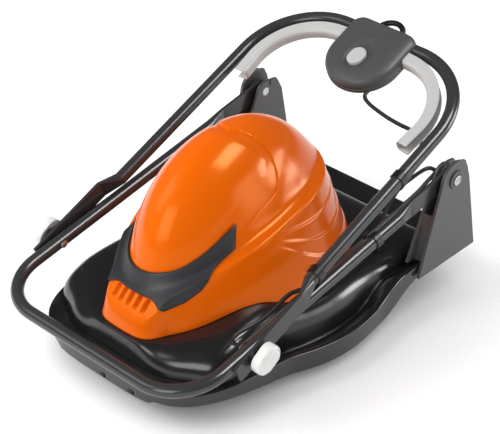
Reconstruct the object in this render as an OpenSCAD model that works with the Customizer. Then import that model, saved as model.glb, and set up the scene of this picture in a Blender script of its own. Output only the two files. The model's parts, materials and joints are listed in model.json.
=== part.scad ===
// Electric hover mower with a folding tube handle, folded for storage.
// Millimetres. X is the width, -Y is the front, +Z is up.
// The origin is on the ground, on the axis of the blade spindle.

/* [Handle tubes] */
// Outside diameter of the handle tubes
tube_d = 20; // [18:0.5:22]
// Distance between the centre lines of the two legs
leg_spacing = 380; // [376:1:390]
// Length of the lower handle from its pivot to the crossbar
lower_length = 566; // [560:1:580]
// Bend radius of the lower handle's front corners
lower_bend_r = 77; // [60:1:85]
// Distance from the pivot to the knob bolts
knob_distance = 439; // [430:1:445]
// Length of the upper handle from the knob bolts to the grip bar
upper_length = 548; // [540:1:556]
// Bend radius of the grip bar
upper_bend_r = 118; // [112:1:122]
// Fall of the folded lower handle towards the front, in degrees
lower_fall = 10.4; // [9:0.1:12]
// Rise of the folded upper handle towards the rear, in degrees
upper_rise = 22.5; // [21:0.1:24]
// Height of the flattened tube ends
strap_h = 28; // [24:0.5:30]
// Thickness of the flattened tube ends
strap_t = 5; // [4:0.5:6]
// Length of the flattened end at the lower pivots
lower_strap_l = 85; // [75:1:95]
// Length of the flattened end at the knobs
upper_strap_l = 105; // [100:1:115]
// Length over which a flat end runs out into the round tube
strap_blend = 30; // [24:1:36]

/* [Pivots and knobs] */
// Height of the lower pivot above the ground
pivot_z = 200; // [190:1:205]
// Distance of the lower pivot behind the spindle
pivot_y = 232; // [228:1:236]
// Diameter of the lower pivot bolts
pivot_d = 8; // [7:0.5:9]
// Diameter of the knob bolts
knob_bolt_d = 6; // [5:0.5:7]
// Width of a knob
knob_w = 31; // [28:0.5:34]
// Length of a knob
knob_l = 46; // [42:0.5:52]
// Thickness of a knob
knob_h = 20; // [18:0.5:24]

/* [Brackets] */
// Thickness of a bracket's cheeks
cheek_t = 5; // [4:0.5:6]
// Clear width between a bracket's cheeks
cheek_gap = 18; // [16:0.5:20]
// Radius of the outer cheek's round top
cheek_r = 30; // [26:0.5:34]
// Radius of the inner cheek's round top
inner_cheek_r = 18; // [15:0.5:20]
// Length of a bracket in front of its pivot
bracket_front = 74; // [68:1:80]
// Length of a bracket behind its pivot
bracket_rear = 60; // [54:1:62]

/* [Deck] */
// Half width of the deck's front part
deck_front_hw = 184; // [181:1:188]
// Distance from the spindle to the front edge
deck_front = 300; // [296:1:304]
// Distance from the spindle to the rear edge
deck_rear = 284; // [282:1:290]
// Radius of the rim where it bulges round the blade
bulge_r = 208; // [205:1:210]
// Wall thickness of the deck
deck_wall = 3.2; // [2.6:0.1:3.6]
// Height of the rim beside the blade
rim_side_z = 52; // [50:1:58]
// Height of the rim under the brackets
rim_rear_z = 76; // [72:1:80]
// Width of the rim's flat top
rim_w = 9; // [7:0.5:11]
// Outside radius of the round shroud that stands on the ground
shroud_r = 187; // [185:0.5:189]
// Wall thickness of the shroud
shroud_wall = 4; // [3:0.5:5]

/* [Hood] */
// Height of the hood's lower edge at the nose
hood_z = 92; // [90:1:94]
// Half width of the hood
hood_hw = 144; // [140:1:146]
// Distance from the spindle to the hood's rear edge
hood_rear = 172; // [166:1:174]
// Distance from the spindle to the hood's nose
hood_front = 258; // [252:1:260]
// Half width of the square nose
nose_hw = 70; // [64:1:74]
// Wall thickness of the hood
hood_wall = 2.6; // [2.2:0.1:3]
// Height of the hood's lower edge at the sides above that at the nose
hood_rise = 3; // [0:1:8]
// Width of one vent slot in the nose
vent_w = 7; // [5:0.5:8]
// Distance between vent slots
vent_pitch = 14.5; // [12:0.5:15]

/* [Switch box] */
// Half width of the switch box
box_hw = 61; // [60:0.5:64]
// Height of the switch box cover above the tube's centre plane
cover_h = 21; // [20:0.5:24]
// Depth of the switch box base below that plane
base_h = 18; // [17:0.5:20]
// Wall thickness of the switch box
box_wall = 2.5; // [2:0.1:3]
// Travel of the lock-off button
button_travel = 4; // [3:0.5:5]
// Angle through which a lever is squeezed, in degrees
lever_swing = 4.5; // [3:0.5:5]

/* [Drive] */
// Length of the blade from tip to tip
blade_l = 300; // [280:1:310]
// Width of the blade
blade_w = 38; // [32:1:42]
// Thickness of the blade
blade_t = 2.5; // [2:0.1:3]
// Height of the blade above the ground
blade_z = 22; // [20:0.5:24]
// Radius of the impeller
impeller_r = 125; // [110:1:130]
// Number of vanes on the impeller
vane_n = 12; // [8:1:16]
// Diameter of the spindle shaft
spindle_d = 12; // [10:0.5:13]
// Radius of the large pulley at the belt
pulley_r = 46; // [42:0.5:48]
// Radius of the motor pulley at the belt
pinion_r = 14; // [12:0.5:15]
// Distance from the spindle to the motor shaft
motor_y = 74; // [72:0.5:78]
// Radius of the motor
motor_r = 40; // [36:0.5:42]

/* [Cable] */
// Diameter of the switch cable
cable_d = 6.4; // [5:0.2:7]

/* [Hidden] */
$fn = 64;

// Fits
run_gap = 0.06;
seat_gap = 0.3;
slip_gap = 0.1;

// Colours
graphite = [0.24, 0.24, 0.25];
charcoal = [0.17, 0.17, 0.18];
orange = [0.93, 0.42, 0.04];
slate = [0.30, 0.31, 0.32];
pale_grey = [0.78, 0.78, 0.78];
black = [0.08, 0.08, 0.08];
steel = [0.70, 0.71, 0.72];
copper = [0.72, 0.45, 0.25];

// Places on the handles
leg_x = leg_spacing / 2;
tube_r = tube_d / 2;
knob_y = pivot_y - knob_distance * cos(lower_fall);
knob_z = pivot_z - knob_distance * sin(lower_fall);
upper_strap_x = leg_x + tube_r + seat_gap + strap_t / 2;
grip_s = upper_length - upper_bend_r;
grip_x = leg_x - upper_bend_r;
strap_over = strap_h * 1.3;
upper_flat_end = upper_strap_l + strap_blend;

// Frame of the lower handle: the pivot is its origin and the legs run along -Y
module at_lower() {
    translate([0, pivot_y, pivot_z]) rotate([lower_fall, 0, 0]) children();
}

// Frame of the upper handle: the knob bolts are its X axis and the legs run along +Y
module at_upper() {
    translate([0, knob_y, knob_z]) rotate([upper_rise, 0, 0]) children();
}

// The children and their mirror image in the mower's middle plane
module both_sides() {
    children();
    mirror([1, 0, 0]) children();
}

// A cylinder along X from x0 to x1
module x_rod(r, x0, x1) {
    translate([x0, 0, 0]) rotate([0, 90, 0]) cylinder(r = r, h = x1 - x0);
}

// A cylinder along Y from y0 to y1
module y_rod(r, y0, y1) {
    translate([0, y0, 0]) rotate([-90, 0, 0]) cylinder(r = r, h = y1 - y0);
}

// A quarter bend of round bar about the origin, from +X to +Y
module bend(bar_r, bend_r) {
    rotate_extrude(angle = 90) translate([bend_r, 0]) circle(r = bar_r);
}

// Shape functions
function smooth_max(a, b, k) = (a + b + sqrt((a - b) * (a - b) + k * k)) / 2;
function smooth_step(lo, hi, x) = let (t = max(0, min(1, (x - lo) / (hi - lo)))) t * t * (3 - 2 * t);
function superellipse(x, y, a, b, n) = pow(pow(abs(x / a), n) + pow(abs(y / b), n), -1 / n);

// Distance along the ray o + r d to the far side of an ellipsoid that is tilted about X
function tilt_yz(p, t) = [p[0], p[1] * cos(t) + p[2] * sin(t), p[2] * cos(t) - p[1] * sin(t)];
function over(p, s) = [p[0] / s[0], p[1] / s[1], p[2] / s[2]];
function ellipsoid_r(d, o, c, s, t) =
    let (a = over(tilt_yz(d, t), s), b = over(tilt_yz(o - c, t), s), aa = a * a, ab = a * b)
    (-ab + sqrt(max(0, ab * ab - aa * (b * b - 1)))) / aa;

// Hood: angle a runs from the nose round the plan, angle e is the rise above the lower edge
hood_o = [0, 0, hood_z];
hood_draft = 0.29;
nose_power = 4.5;
flank_power = 1.9;
flank_back = 8;
egg_c = [0, -38, hood_z + 49];
egg_s = [94, 177, 185];
egg_tilt = 15;
crown_c = [0, -31, hood_z - 25];
crown_s = [106, 200, 260];
roof_c = [0, 38, hood_z + 14];
roof_s = [hood_hw * 1.96, 306, 118];
roof_tilt = 6;
crown_blend = 10;
function plan_dir(a) = [sin(a), -cos(a)];
function off_nose(a) = abs((a + 180) % 360 - 180);
function hood_plan(a) =
    let (p = plan_dir(a))
    p[1] >= 0 ? superellipse(p[0], p[1], hood_hw, hood_rear, 2) :
    smooth_max(superellipse(p[0], p[1], hood_hw, hood_front - flank_back, flank_power),
        superellipse(p[0], p[1], nose_hw, hood_front, nose_power), flank_back);
flank_arch = 22;
function edge_rise(a) = (hood_rise + flank_arch) * smooth_step(11, 44, off_nose(a))
    - flank_arch * smooth_step(46, 75, off_nose(a));
function edge_e(a) = atan2(edge_rise(a), hood_plan(a));
function ray(a, e) = [plan_dir(a)[0] * cos(e), plan_dir(a)[1] * cos(e), sin(e)];
function wall_r(a, e) = hood_plan(a) / (cos(e) + hood_draft * sin(e));
function roof_r(a, e) = smooth_max(ellipsoid_r(ray(a, e), hood_o, crown_c, crown_s, 0),
    ellipsoid_r(ray(a, e), hood_o, roof_c, roof_s, roof_tilt), crown_blend);
function hood_r(a, e) = max(body_r(a, e), egg_r(a, e));
function hood_point(a, e, off) = hood_o + (hood_r(a, e) + off) * ray(a, e);
// Elevation of the crease between the side wall and the roof, found by halving
function crease_e(a, lo, hi, n) = n == 0 ? lo :
    let (m = (lo + hi) / 2) wall_r(a, m) < roof_r(a, m)
        ? crease_e(a, m, hi, n - 1) : crease_e(a, lo, m, n - 1);
// Elevation at which the egg rises out of the roof, found by halving
function body_r(a, e) = min(wall_r(a, e), roof_r(a, e));
function egg_r(a, e) = ellipsoid_r(ray(a, e), hood_o, egg_c, egg_s, egg_tilt);
function egg_e(a, lo, hi, n) = n == 0 ? lo :
    let (m = (lo + hi) / 2) egg_r(a, m) < body_r(a, m) ? egg_e(a, m, hi, n - 1) : egg_e(a, lo, m, n - 1);
// Radius of the hood's lower edge in plan, and the height of the deck's seat under it
function edge_r(a) = hood_r(a, edge_e(a)) * cos(edge_e(a));
function edge_z(a) = hood_point(a, edge_e(a), -hood_wall)[2] - seat_gap;

// Deck: the rim's outline and heights at plan angle a
deck_rear_hw = leg_x + cheek_gap / 2 - 2;
rear_power = 14;
front_power = 4;
bulge_blend = 12;
rim_front_z = 56;
front_rim_w = 30;
skirt_in = 2;
skirt_front_z = 36;
skirt_side_z = 3;
skirt_rear_z = 55;
lip_hw = 95;
lip_drop = 6;
lip_holes = [5, 62];
valley_w = 25;
valley_drop = 14;
seat_z = hood_z - 4;
hole_r = 75;
function rim_r(a) =
    let (p = plan_dir(a))
    smooth_max(p[1] >= 0 ? superellipse(p[0], p[1], deck_rear_hw, deck_rear, rear_power) :
        superellipse(p[0], p[1], deck_front_hw, deck_front, front_power), bulge_r, bulge_blend);
function rim_y(a) = rim_r(a) * plan_dir(a)[1];
function rim_z(a) = rim_side_z + (rim_front_z - rim_side_z) * smooth_step(60, 170, -rim_y(a))
    + (rim_rear_z - rim_side_z) * smooth_step(60, 140, rim_y(a));
function skirt_z(a) = skirt_side_z + (skirt_front_z - skirt_side_z) * smooth_step(5, 125, -rim_y(a))
    + (skirt_rear_z - skirt_side_z) * smooth_step(78, 175, rim_y(a))
    - (rim_y(a) < -200 ? lip_drop * (1 - smooth_step(lip_hw - 8, lip_hw + 8, rim_r(a) * abs(sin(a)))) : 0);
function flat_w(a) = rim_w + (front_rim_w - rim_w) * smooth_step(230, 285, -rim_y(a));
// Share of the valley that is left: it runs out towards the straight front edge
function valley(a) = 1 - 0.9 * smooth_step(200, 270, -rim_y(a));
dome_steps = 5;
// Height of the deck's top beside the hood, at distance r along plan angle a
function deck_top(a, r) =
    let (p = dome_rz(a, 0, 0), q = dome_rz(a, dome_steps, 0), u = (r - p[0]) / (q[0] - p[0]))
    q[1] + (p[1] - q[1]) * sqrt(max(0, 1 - u * u));
function dome_rz(a, k, inset) =
    let (r0 = edge_r(a) + 4, r1 = max(rim_r(a) - flat_w(a) - valley_w * valley(a), r0 + 5),
        z0 = edge_z(a), z1 = rim_z(a) - valley_drop * valley(a), q = 90 * k / dome_steps)
    [r0 + (r1 - r0 - inset) * sin(q), z1 + (z0 - z1) * cos(q) - inset * (0.25 + 0.75 * cos(q))];
function deck_profile(a) =
    let (r = rim_r(a), z = rim_z(a), e = edge_r(a), zp = edge_z(a), t = deck_wall)
    concat([[hole_r, seat_z], [e - 16, seat_z], [e - 10, zp]],
        [for (k = [0:dome_steps]) dome_rz(a, k, 0)],
        [[r - flat_w(a), z], [r, z], [r, z - t], [r - skirt_in, skirt_z(a)], [r - skirt_in - t, skirt_z(a)],
            [r - t - 1, z - t], [r - flat_w(a) + 1, z - t]],
        [for (k = [dome_steps:-1:0]) dome_rz(a, k, t)],
        [[e - 8, seat_z - t], [hole_r, seat_z - t]]);
plan_n = 80;
function plan_a(i) = let (t = i * 360 / plan_n) t - 10 * sin(2 * t);

// The two triangles of a patch with corners a, b, c, d, cut along its shorter diagonal
function patch(p, a, b, c, d) = norm(p[a] - p[c]) < norm(p[b] - p[d])
    ? [[a, c, b], [a, d, c]] : [[a, d, b], [b, d, c]];

// Closed surface through rings of points: each ring is a closed loop, and the rings close on themselves
module ring_solid(rings) {
    n = len(rings);
    m = len(rings[0]);
    p = [for (r = rings) each r];
    polyhedron(points = p, convexity = 8, faces = [for (i = [0:n - 1]) for (j = [0:m - 1])
        let (k = ((i + 1) % n) * m, l = (j + 1) % m) each patch(p, i * m + j, i * m + l, k + l, k + j)]);
}

// Closed surface through a stack of loops, with a flat face on the first and last
module stack_solid(loops) {
    n = len(loops);
    m = len(loops[0]);
    p = [for (l = loops) each l];
    polyhedron(points = p, convexity = 8, faces = concat(
        [[for (j = [0:m - 1]) j]],
        [for (i = [0:n - 2]) for (j = [0:m - 1])
            let (k = i * m, l = (j + 1) % m) each patch(p, k + j, k + l, k + m + l, k + m + j)],
        [[for (j = [m - 1:-1:0]) (n - 1) * m + j]]));
}

// Cable: round tube swept along a smooth curve through hand-chosen points
cable_sides = 8;
function unit(p) = p / norm(p);
function route(p, i, t) =
    let (n = len(p) - 1, a = p[max(0, i - 1)], b = p[i], c = p[min(n, i + 1)], d = p[min(n, i + 2)])
    0.5 * (2 * b + (c - a) * t + (2 * a - 5 * b + 4 * c - d) * t * t + (3 * b - a - 3 * c + d) * t * t * t);
module cable(p, up, steps) {
    path = [for (i = [0:len(p) - 2]) for (k = [0:steps - 1]) route(p, i, k / steps), p[len(p) - 1]];
    last = len(path) - 1;
    stack_solid([for (i = [0:last])
        let (t = unit(path[min(last, i + 1)] - path[max(0, i - 1)]), u = unit(cross(t, up)), w = cross(t, u))
        [for (k = [0:cable_sides - 1])
            path[i] + cable_d / 2 * (cos(k * 360 / cable_sides) * u + sin(k * 360 / cable_sides) * w)]]);
}

// Routes of the three stretches of cable: upper handle, lower handle, deck
// On both handle joints the cable turns on to the joint's axis, so that it only twists there
run_x = leg_x - tube_r - cable_d / 2 - 0.6;
run_n = -tube_r - cable_d / 2 - 0.6;
twist_gap = 0.6;
knob_twist_x = leg_x - 24;
pivot_twist_x = leg_x - 28;
cable_out = [38, upper_length - 96, -8];
cable_upper_route = [cable_out + [0, 24, 0], cable_out, cable_out + [2, -7, -1], cable_out + [10, -12, -2],
    cable_out + [25, -16, -4], cable_out + [57, -21, -6], [leg_x - 69, grip_s, -16],
    [leg_x - 49, grip_s, -17], [leg_x - 30, grip_s - 7, -17], [leg_x - 14, grip_s - 23, -16],
    [leg_x - 4, grip_s - 46, -15],
    [leg_x, grip_s - 70, run_n], [leg_x, grip_s * 0.65, run_n], [leg_x, grip_s * 0.47, run_n],
    [leg_x, upper_flat_end + 15, run_n], [leg_x - 3, upper_flat_end + 3, run_n - 0.6],
    [leg_x - 9, upper_flat_end - 9, run_n - 1], [run_x - 6, upper_flat_end - 23, run_n - 1.2],
    [run_x - 9, upper_flat_end - 39, run_n - 1.2],
    [run_x - 10, 76, run_n - 1.2], [run_x - 13, 56, run_n], [run_x - 17, 38, -10], [run_x - 20, 22, -5],
    [knob_twist_x - 10, 10, -2], [knob_twist_x - 8.5, 4.2, -0.6], [knob_twist_x - 6, 1.2, 0],
    [knob_twist_x - 3, 0, 0], [knob_twist_x - 1.7, 0, 0], [knob_twist_x - twist_gap, 0, 0]];
cable_lower_route = [[knob_twist_x, 0, 0], [knob_twist_x + 1.3, 0, 0], [knob_twist_x + 2.6, 0, 0],
    [knob_twist_x + 5.5, 1.2, 0], [knob_twist_x + 8, 4, 0], [knob_twist_x + 9.5, 9, 0],
    [run_x, 24, 0], for (f = [0.2, 0.4, 0.6, 0.8]) [run_x, knob_distance * f, 0],
    [run_x - 1, knob_distance - 50, 0],
    [run_x - 3.2, knob_distance - 34, 0], [run_x - 4.6, knob_distance - 22, 0],
    [pivot_twist_x + 8.6, knob_distance - 11, 0], [pivot_twist_x + 7, knob_distance - 4.6, 0],
    [pivot_twist_x + 4.8, knob_distance - 1.2, 0], [pivot_twist_x + 2.6, knob_distance, 0],
    [pivot_twist_x + 1.3, knob_distance, 0], [pivot_twist_x, knob_distance, 0]];
gland_x = leg_x - 50;
gland_y = pivot_y - 94;
gland_z = deck_top(180 - atan2(gland_x, gland_y), norm([gland_x, gland_y]) - cable_d / 2 - 4) + seat_gap;
cable_deck_route = [[pivot_twist_x - twist_gap, pivot_y, pivot_z], [pivot_twist_x - 1.7, pivot_y, pivot_z],
    [pivot_twist_x - 3, pivot_y, pivot_z], [pivot_twist_x - 5.8, pivot_y - 1.4, pivot_z],
    [pivot_twist_x - 8.4, pivot_y - 5, pivot_z - 0.4], [pivot_twist_x - 9.4, pivot_y - 12, pivot_z - 0.6],
    [pivot_twist_x - 8, pivot_y - 22, pivot_z + 1], [leg_x - 33, pivot_y - 34, pivot_z + 4],
    [leg_x - 30, pivot_y - 50, pivot_z + 6], [leg_x - 31, pivot_y - 66, pivot_z + 3],
    [leg_x - 35, pivot_y - 78, pivot_z - 8],
    [leg_x - 42, pivot_y - 88, pivot_z - 32], [leg_x - 48, gland_y, pivot_z - 62],
    [gland_x, gland_y, gland_z + 12],
    [gland_x, gland_y, gland_z + 1]];

// Deck moulding: a tray with a raised seat for the hood, a valley, a flat rim and a hanging skirt
module deck_shell() {
    color(charcoal)
    difference() {
        ring_solid([for (i = [0:plan_n - 1]) let (a = plan_a(i), p = plan_dir(a))
            [for (q = deck_profile(a)) [q[0] * p[0], q[0] * p[1], q[1]]]]);
        for (x = lip_holes) translate([x - 4.5, -deck_front - 5, skirt_front_z - 3]) cube([9, 15, 8]);
    }
}

// Space above the deck's underside, from which the shroud stays clear
module above_deck() {
    stack_solid(concat(
        [[for (i = [0:plan_n - 1]) let (p = plan_dir(plan_a(i)))
            [hole_r * p[0], hole_r * p[1], seat_z - deck_wall - 2 * seat_gap]]],
        [for (k = [0:dome_steps]) [for (i = [0:plan_n - 1])
            let (a = plan_a(i), p = plan_dir(a), q = dome_rz(a, k, deck_wall + 2 * seat_gap))
                [q[0] * p[0], q[0] * p[1], q[1]]]],
        [[for (i = [0:plan_n - 1]) let (a = plan_a(i), p = plan_dir(a), r = rim_r(a) - 4)
            [r * p[0], r * p[1], rim_z(a) - deck_wall - 2 * seat_gap]],
        [for (i = [0:plan_n - 1]) let (a = plan_a(i), p = plan_dir(a), r = rim_r(a) + 20)
            [r * p[0], r * p[1], 2 * hood_z]]]));
}

// Round shroud that holds the air cushion and stands on the ground
module fan_shroud() {
    color(charcoal)
    difference() {
        rotate_extrude($fn = 128) polygon([[shroud_r - shroud_wall, 0], [shroud_r, 0],
            [shroud_r, seat_z - deck_wall], [shroud_r - shroud_wall, seat_z - deck_wall]]);
        above_deck();
    }
}

// Bracket: a clevis moulding whose outer cheek hangs over the deck's rim
cheek_out_x = leg_x + cheek_gap / 2;
cheek_in_x = leg_x - cheek_gap / 2;
bracket_z = rim_rear_z + seat_gap;
outer_foot_z = skirt_rear_z + 3;
web_t = 4;
web_top = 150;
boss_r = 11;
// A flat plate in the YZ plane, from a straight foot up to a round top about the pivot
// back is how far its square rear shoulder stands behind the pivot
module cheek(x, foot_z, top_r, back) {
    translate([x, 0, 0]) rotate([90, 0, 90]) linear_extrude(cheek_t) {
        translate([pivot_y, pivot_z]) circle(r = top_r);
        polygon([[pivot_y - bracket_front, foot_z], [pivot_y + bracket_rear, foot_z],
            [pivot_y + back + 12, pivot_z - 8], [pivot_y + back, pivot_z + top_r * 0.8],
            [pivot_y, pivot_z + top_r], [pivot_y - top_r * cos(28), pivot_z + top_r * sin(28)]]);
    }
}
module bracket_web(y_foot, y_top) {
    translate([cheek_in_x - cheek_t, 0, 0]) rotate([90, 0, 90]) linear_extrude(cheek_gap + 2 * cheek_t)
        polygon([[y_foot, bracket_z], [y_foot + web_t, bracket_z],
            [y_top + web_t, web_top], [y_top, web_top]]);
}
module right_bracket() {
    front_lean = (bracket_front - cheek_r) * (web_top - bracket_z) / (pivot_z - bracket_z);
    rear_lean = (bracket_rear - cheek_r) * (web_top - bracket_z) / (pivot_z - bracket_z);
    color(graphite)
    difference() {
        union() {
            cheek(cheek_out_x, outer_foot_z, cheek_r, 22);
            cheek(cheek_in_x - cheek_t, bracket_z, inner_cheek_r, 26);
            bracket_web(pivot_y - bracket_front + 16, pivot_y - bracket_front + 16 + front_lean * 0.6);
            bracket_web(pivot_y + bracket_rear - 12, pivot_y + bracket_rear - 12 - rear_lean * 1.2);
            translate([0, pivot_y, pivot_z]) {
                x_rod(boss_r, cheek_in_x - 1, leg_x - strap_t / 2 - seat_gap);
                x_rod(boss_r, leg_x + strap_t / 2 + seat_gap, cheek_out_x + 1);
            }
        }
        translate([0, pivot_y, pivot_z]) {
            x_rod(pivot_d / 2 + slip_gap, cheek_in_x - 20, cheek_out_x + 20);
            translate([cheek_in_x - cheek_t - 1, 0, 0]) rotate([0, 90, 0])
                cylinder(r = nut_r + slip_gap, h = nut_h + 1, $fn = 6);
            translate([cheek_in_x - cheek_t - 1, 8, 8]) cube([cheek_t + 2, 3, 20]);
        }
    }
}
module left_bracket() mirror([1, 0, 0]) right_bracket();

// Pivot bolts with a slotted round head outside and a nut inside the clevis
head_h = 4;
nut_h = 3.5;
nut_r = pivot_d * 0.92;
module pivot_bolts() {
    color(steel)
    translate([0, pivot_y, pivot_z]) both_sides() difference() {
        union() {
            x_rod(pivot_d / 2, cheek_in_x - cheek_t, cheek_out_x + cheek_t + 1);
            x_rod(pivot_d, cheek_out_x + cheek_t + slip_gap, cheek_out_x + cheek_t + head_h);
        }
        translate([cheek_out_x + cheek_t + head_h - 1.2, -pivot_d, -0.8]) cube([2, 2 * pivot_d, 1.6]);
    }
}
module pivot_nuts() {
    color(steel)
    translate([0, pivot_y, pivot_z]) both_sides() difference() {
        translate([cheek_in_x - cheek_t, 0, 0]) rotate([0, 90, 0])
            cylinder(r = nut_r, h = nut_h - slip_gap, $fn = 6);
        x_rod(pivot_d / 2 + slip_gap, 0, cheek_in_x);
    }
}

// Hood moulding: the egg, the crown behind it, the roof and the side wall as one thin shell
wall_rings = 3;
shelf_rings = 5;
crown_rings = 8;
egg_top_e = 70;
function crease_at(a) = max(edge_e(a) + 1, crease_e(a, edge_e(a), 80, 14));
function egg_at(a) = egg_e(a, crease_at(a), egg_top_e, 14);
function ring_e(a, k) =
    let (e0 = edge_e(a), ec = crease_at(a), eg = max(ec + 1, egg_at(a)))
    k <= wall_rings ? e0 + (ec - e0) * k / wall_rings :
    k <= wall_rings + shelf_rings ? ec + (eg - ec) * (k - wall_rings) / shelf_rings :
    eg + (89 - eg) * (k - wall_rings - shelf_rings) / crown_rings;
vent_n = 5;
vent_l = 15;
vent_y = -hood_front + 22;
vent_z = hood_z + 42;
vent_tilt = 43;
screw_z = hood_z + 37;
screw_y = -10;
screw_hole_r = 5;
screw_r = 2;
cup_t = 2.4;
cup_x = hood_hw - 26;
cup_end = hood_hw - 13.5;
post_x = cup_x - seat_gap;
module vent_slot(w) {
    translate([-w / 2, -vent_l / 2, -12]) cube([w, vent_l, 24]);
    for (y = [-vent_l / 2, vent_l / 2]) translate([0, y, -12]) cylinder(d = w, h = 24);
}
module motor_hood() {
    last = wall_rings + shelf_rings + crown_rings;
    color(orange)
    difference() {
        union() {
            stack_solid(concat(
                [for (k = [last:-1:0]) [for (i = [0:plan_n - 1])
                    hood_point(plan_a(i), ring_e(plan_a(i), k), -hood_wall)]],
                [for (k = [0:last]) [for (i = [0:plan_n - 1])
                    hood_point(plan_a(i), ring_e(plan_a(i), k), 0)]]));
            translate([0, screw_y, screw_z]) both_sides() x_rod(screw_hole_r + cup_t, cup_x, cup_end);
        }
        for (i = [0:vent_n - 1]) translate([(i - (vent_n - 1) / 2) * vent_pitch, vent_y, vent_z])
            rotate([vent_tilt, 0, 0]) vent_slot(vent_w);
        translate([0, screw_y, screw_z]) both_sides() {
            x_rod(screw_hole_r, cup_x + cup_t, hood_hw + 5);
            x_rod(screw_r + slip_gap, cup_x - 5, hood_hw);
        }
    }
}

// Dark band that wraps the egg's nose above the vents
trim_t = 2;
trim_off = 3.2;
trim_half_a = 37;
trim_cols = 38;
trim_rows = 6;
// Lower edge of the band: it dips at the corners of the nose and then climbs along the egg
trim_edge = [[0, 12.6], [8, 12.6], [10, 12], [13.8, 9.8], [19.8, 13.3], [24.8, 18.2], [27, 22],
    [28, 26.6], [31.2, 30.7], [38, 37.2]];
function trim_e(a, k) =
    let (low = lookup(abs(a), trim_edge), high = egg_at(a) - 1.5 + 5.7 * smooth_step(12, 38, abs(a)),
        mid = crease_at(a) > low + 0.3 ? crease_at(a) : low + (high - low) / 4)
    k <= 2 ? low + (mid - low) * k / 2 : mid + (high - mid) * (k - 2) / (trim_rows - 2);
module nose_trim() {
    color(slate)
    stack_solid([for (i = [0:trim_cols]) let (a = -trim_half_a + 2 * trim_half_a * i / trim_cols)
        concat([for (k = [0:trim_rows]) hood_point(a, trim_e(a, k), trim_off)],
            [for (k = [trim_rows:-1:0]) hood_point(a, trim_e(a, k), trim_off + trim_t)])]);
}

// Screws that hold the hood's sides to the posts of the motor mount
module hood_screws() {
    color(steel)
    translate([0, screw_y, screw_z]) both_sides() {
        x_rod(screw_r, post_x - 8, cup_x + cup_t + 1);
        x_rod(screw_hole_r - 1, cup_x + cup_t + slip_gap, cup_x + cup_t + 3);
    }
}

// Motor mount: a round plate over the deck's hole, with the spindle hub, motor seat and hood posts
plate_r = 104;
plate_z = seat_z + slip_gap;
plate_t = 6;
bearing_r = 14;
bearing_h = 8;
hub_r = 20;
hub_z0 = 66;
hub_z1 = hood_z + 11;
air_hole_r = 15;
air_ring_r = 50;
belt_z = hub_z1 + 4;
belt_h = 10;
motor_z = belt_z + belt_h + 6;
motor_flange_t = 3;
motor_post_r = 5;
motor_posts = [[-34, 12], [34, 12], [0, 36]];
module motor_mount() {
    color(black)
    difference() {
        union() {
            translate([0, 0, plate_z]) cylinder(r = plate_r, h = plate_t);
            translate([0, motor_y, plate_z]) cylinder(r = motor_r + 6, h = plate_t);
            translate([0, 0, hub_z0]) cylinder(r = hub_r, h = hub_z1 - hub_z0);
            for (p = motor_posts) translate([p[0], motor_y + p[1], plate_z])
                cylinder(r = motor_post_r, h = motor_z - plate_z - 1);
            translate([0, motor_y, motor_z - motor_flange_t]) cylinder(r = motor_r + 3, h = motor_flange_t);
            both_sides() {
                translate([post_x - 7, screw_y - 8, plate_z]) cube([7, 16, screw_z + 8 - plate_z]);
                translate([plate_r - 20, screw_y - 7, plate_z]) cube([post_x - plate_r + 17, 14, plate_t]);
            }
        }
        translate([0, 0, hub_z0 - 1]) cylinder(r = spindle_d / 2 + 1, h = hub_z1 - hub_z0 + 2);
        for (z = [hub_z0 - 1, hub_z1 - bearing_h]) translate([0, 0, z])
            cylinder(r = bearing_r + slip_gap, h = bearing_h + 1);
        for (k = [0:5]) rotate([0, 0, k * 60]) translate([air_ring_r, 0, plate_z - 1])
            cylinder(r = air_hole_r, h = plate_t + 2);
        translate([0, motor_y, motor_z - motor_flange_t - 1])
            cylinder(r = pinion_r + 5, h = motor_flange_t + 2);
        translate([0, screw_y, screw_z]) both_sides() x_rod(screw_r + slip_gap, post_x - 10, post_x + 1);
    }
}
module spindle_bearings() {
    color(steel)
    for (z = [hub_z0, hub_z1 - bearing_h]) translate([0, 0, z]) difference() {
        cylinder(r = bearing_r, h = bearing_h);
        translate([0, 0, -1]) cylinder(r = spindle_d / 2 + run_gap, h = bearing_h + 2);
    }
}

// Motor: a steel can with the field core inside and an end cap that carries the brushes
motor_h = 78;
can_t = 2;
cap_h = 12;
shaft_r = 4;
core_r = 24;
core_z0 = 20;
core_h = 40;
comm_r = 11;
comm_h = 11;
brush_r = 22;
module at_motor(z) translate([0, motor_y, motor_z + z]) children();
module motor_can() {
    color(steel)
    at_motor(slip_gap) difference() {
        cylinder(r = motor_r, h = motor_h);
        translate([0, 0, can_t]) cylinder(r = motor_r - can_t, h = motor_h);
        translate([0, 0, -1]) cylinder(r = shaft_r + run_gap, h = can_t + 2);
    }
}
module motor_end_cap() {
    color(black)
    at_motor(motor_h + 2 * slip_gap) difference() {
        union() {
            cylinder(r = motor_r, h = can_t);
            cylinder(r = motor_r - 8, h = cap_h);
        }
        translate([0, 0, -1]) cylinder(r = brush_r + 2, h = cap_h - 3);
        translate([0, 0, -1]) cylinder(r = shaft_r + run_gap, h = cap_h + 2);
    }
}
module stator_core() {
    color(copper)
    at_motor(core_z0 - 4) difference() {
        cylinder(r = motor_r - can_t - slip_gap, h = core_h + 8);
        translate([0, 0, -1]) cylinder(r = core_r + 1, h = core_h + 10);
    }
}
module carbon_brushes() {
    color(charcoal)
    at_motor(core_z0 + core_h + 8) both_sides()
        translate([comm_r + seat_gap, -3, 1]) cube([brush_r - comm_r, 6, comm_h - 4]);
}
module motor_shaft() {
    color(steel)
    translate([0, motor_y, belt_z - 2]) cylinder(r = shaft_r, h = motor_z + motor_h + cap_h - 2 - belt_z);
}
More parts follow.
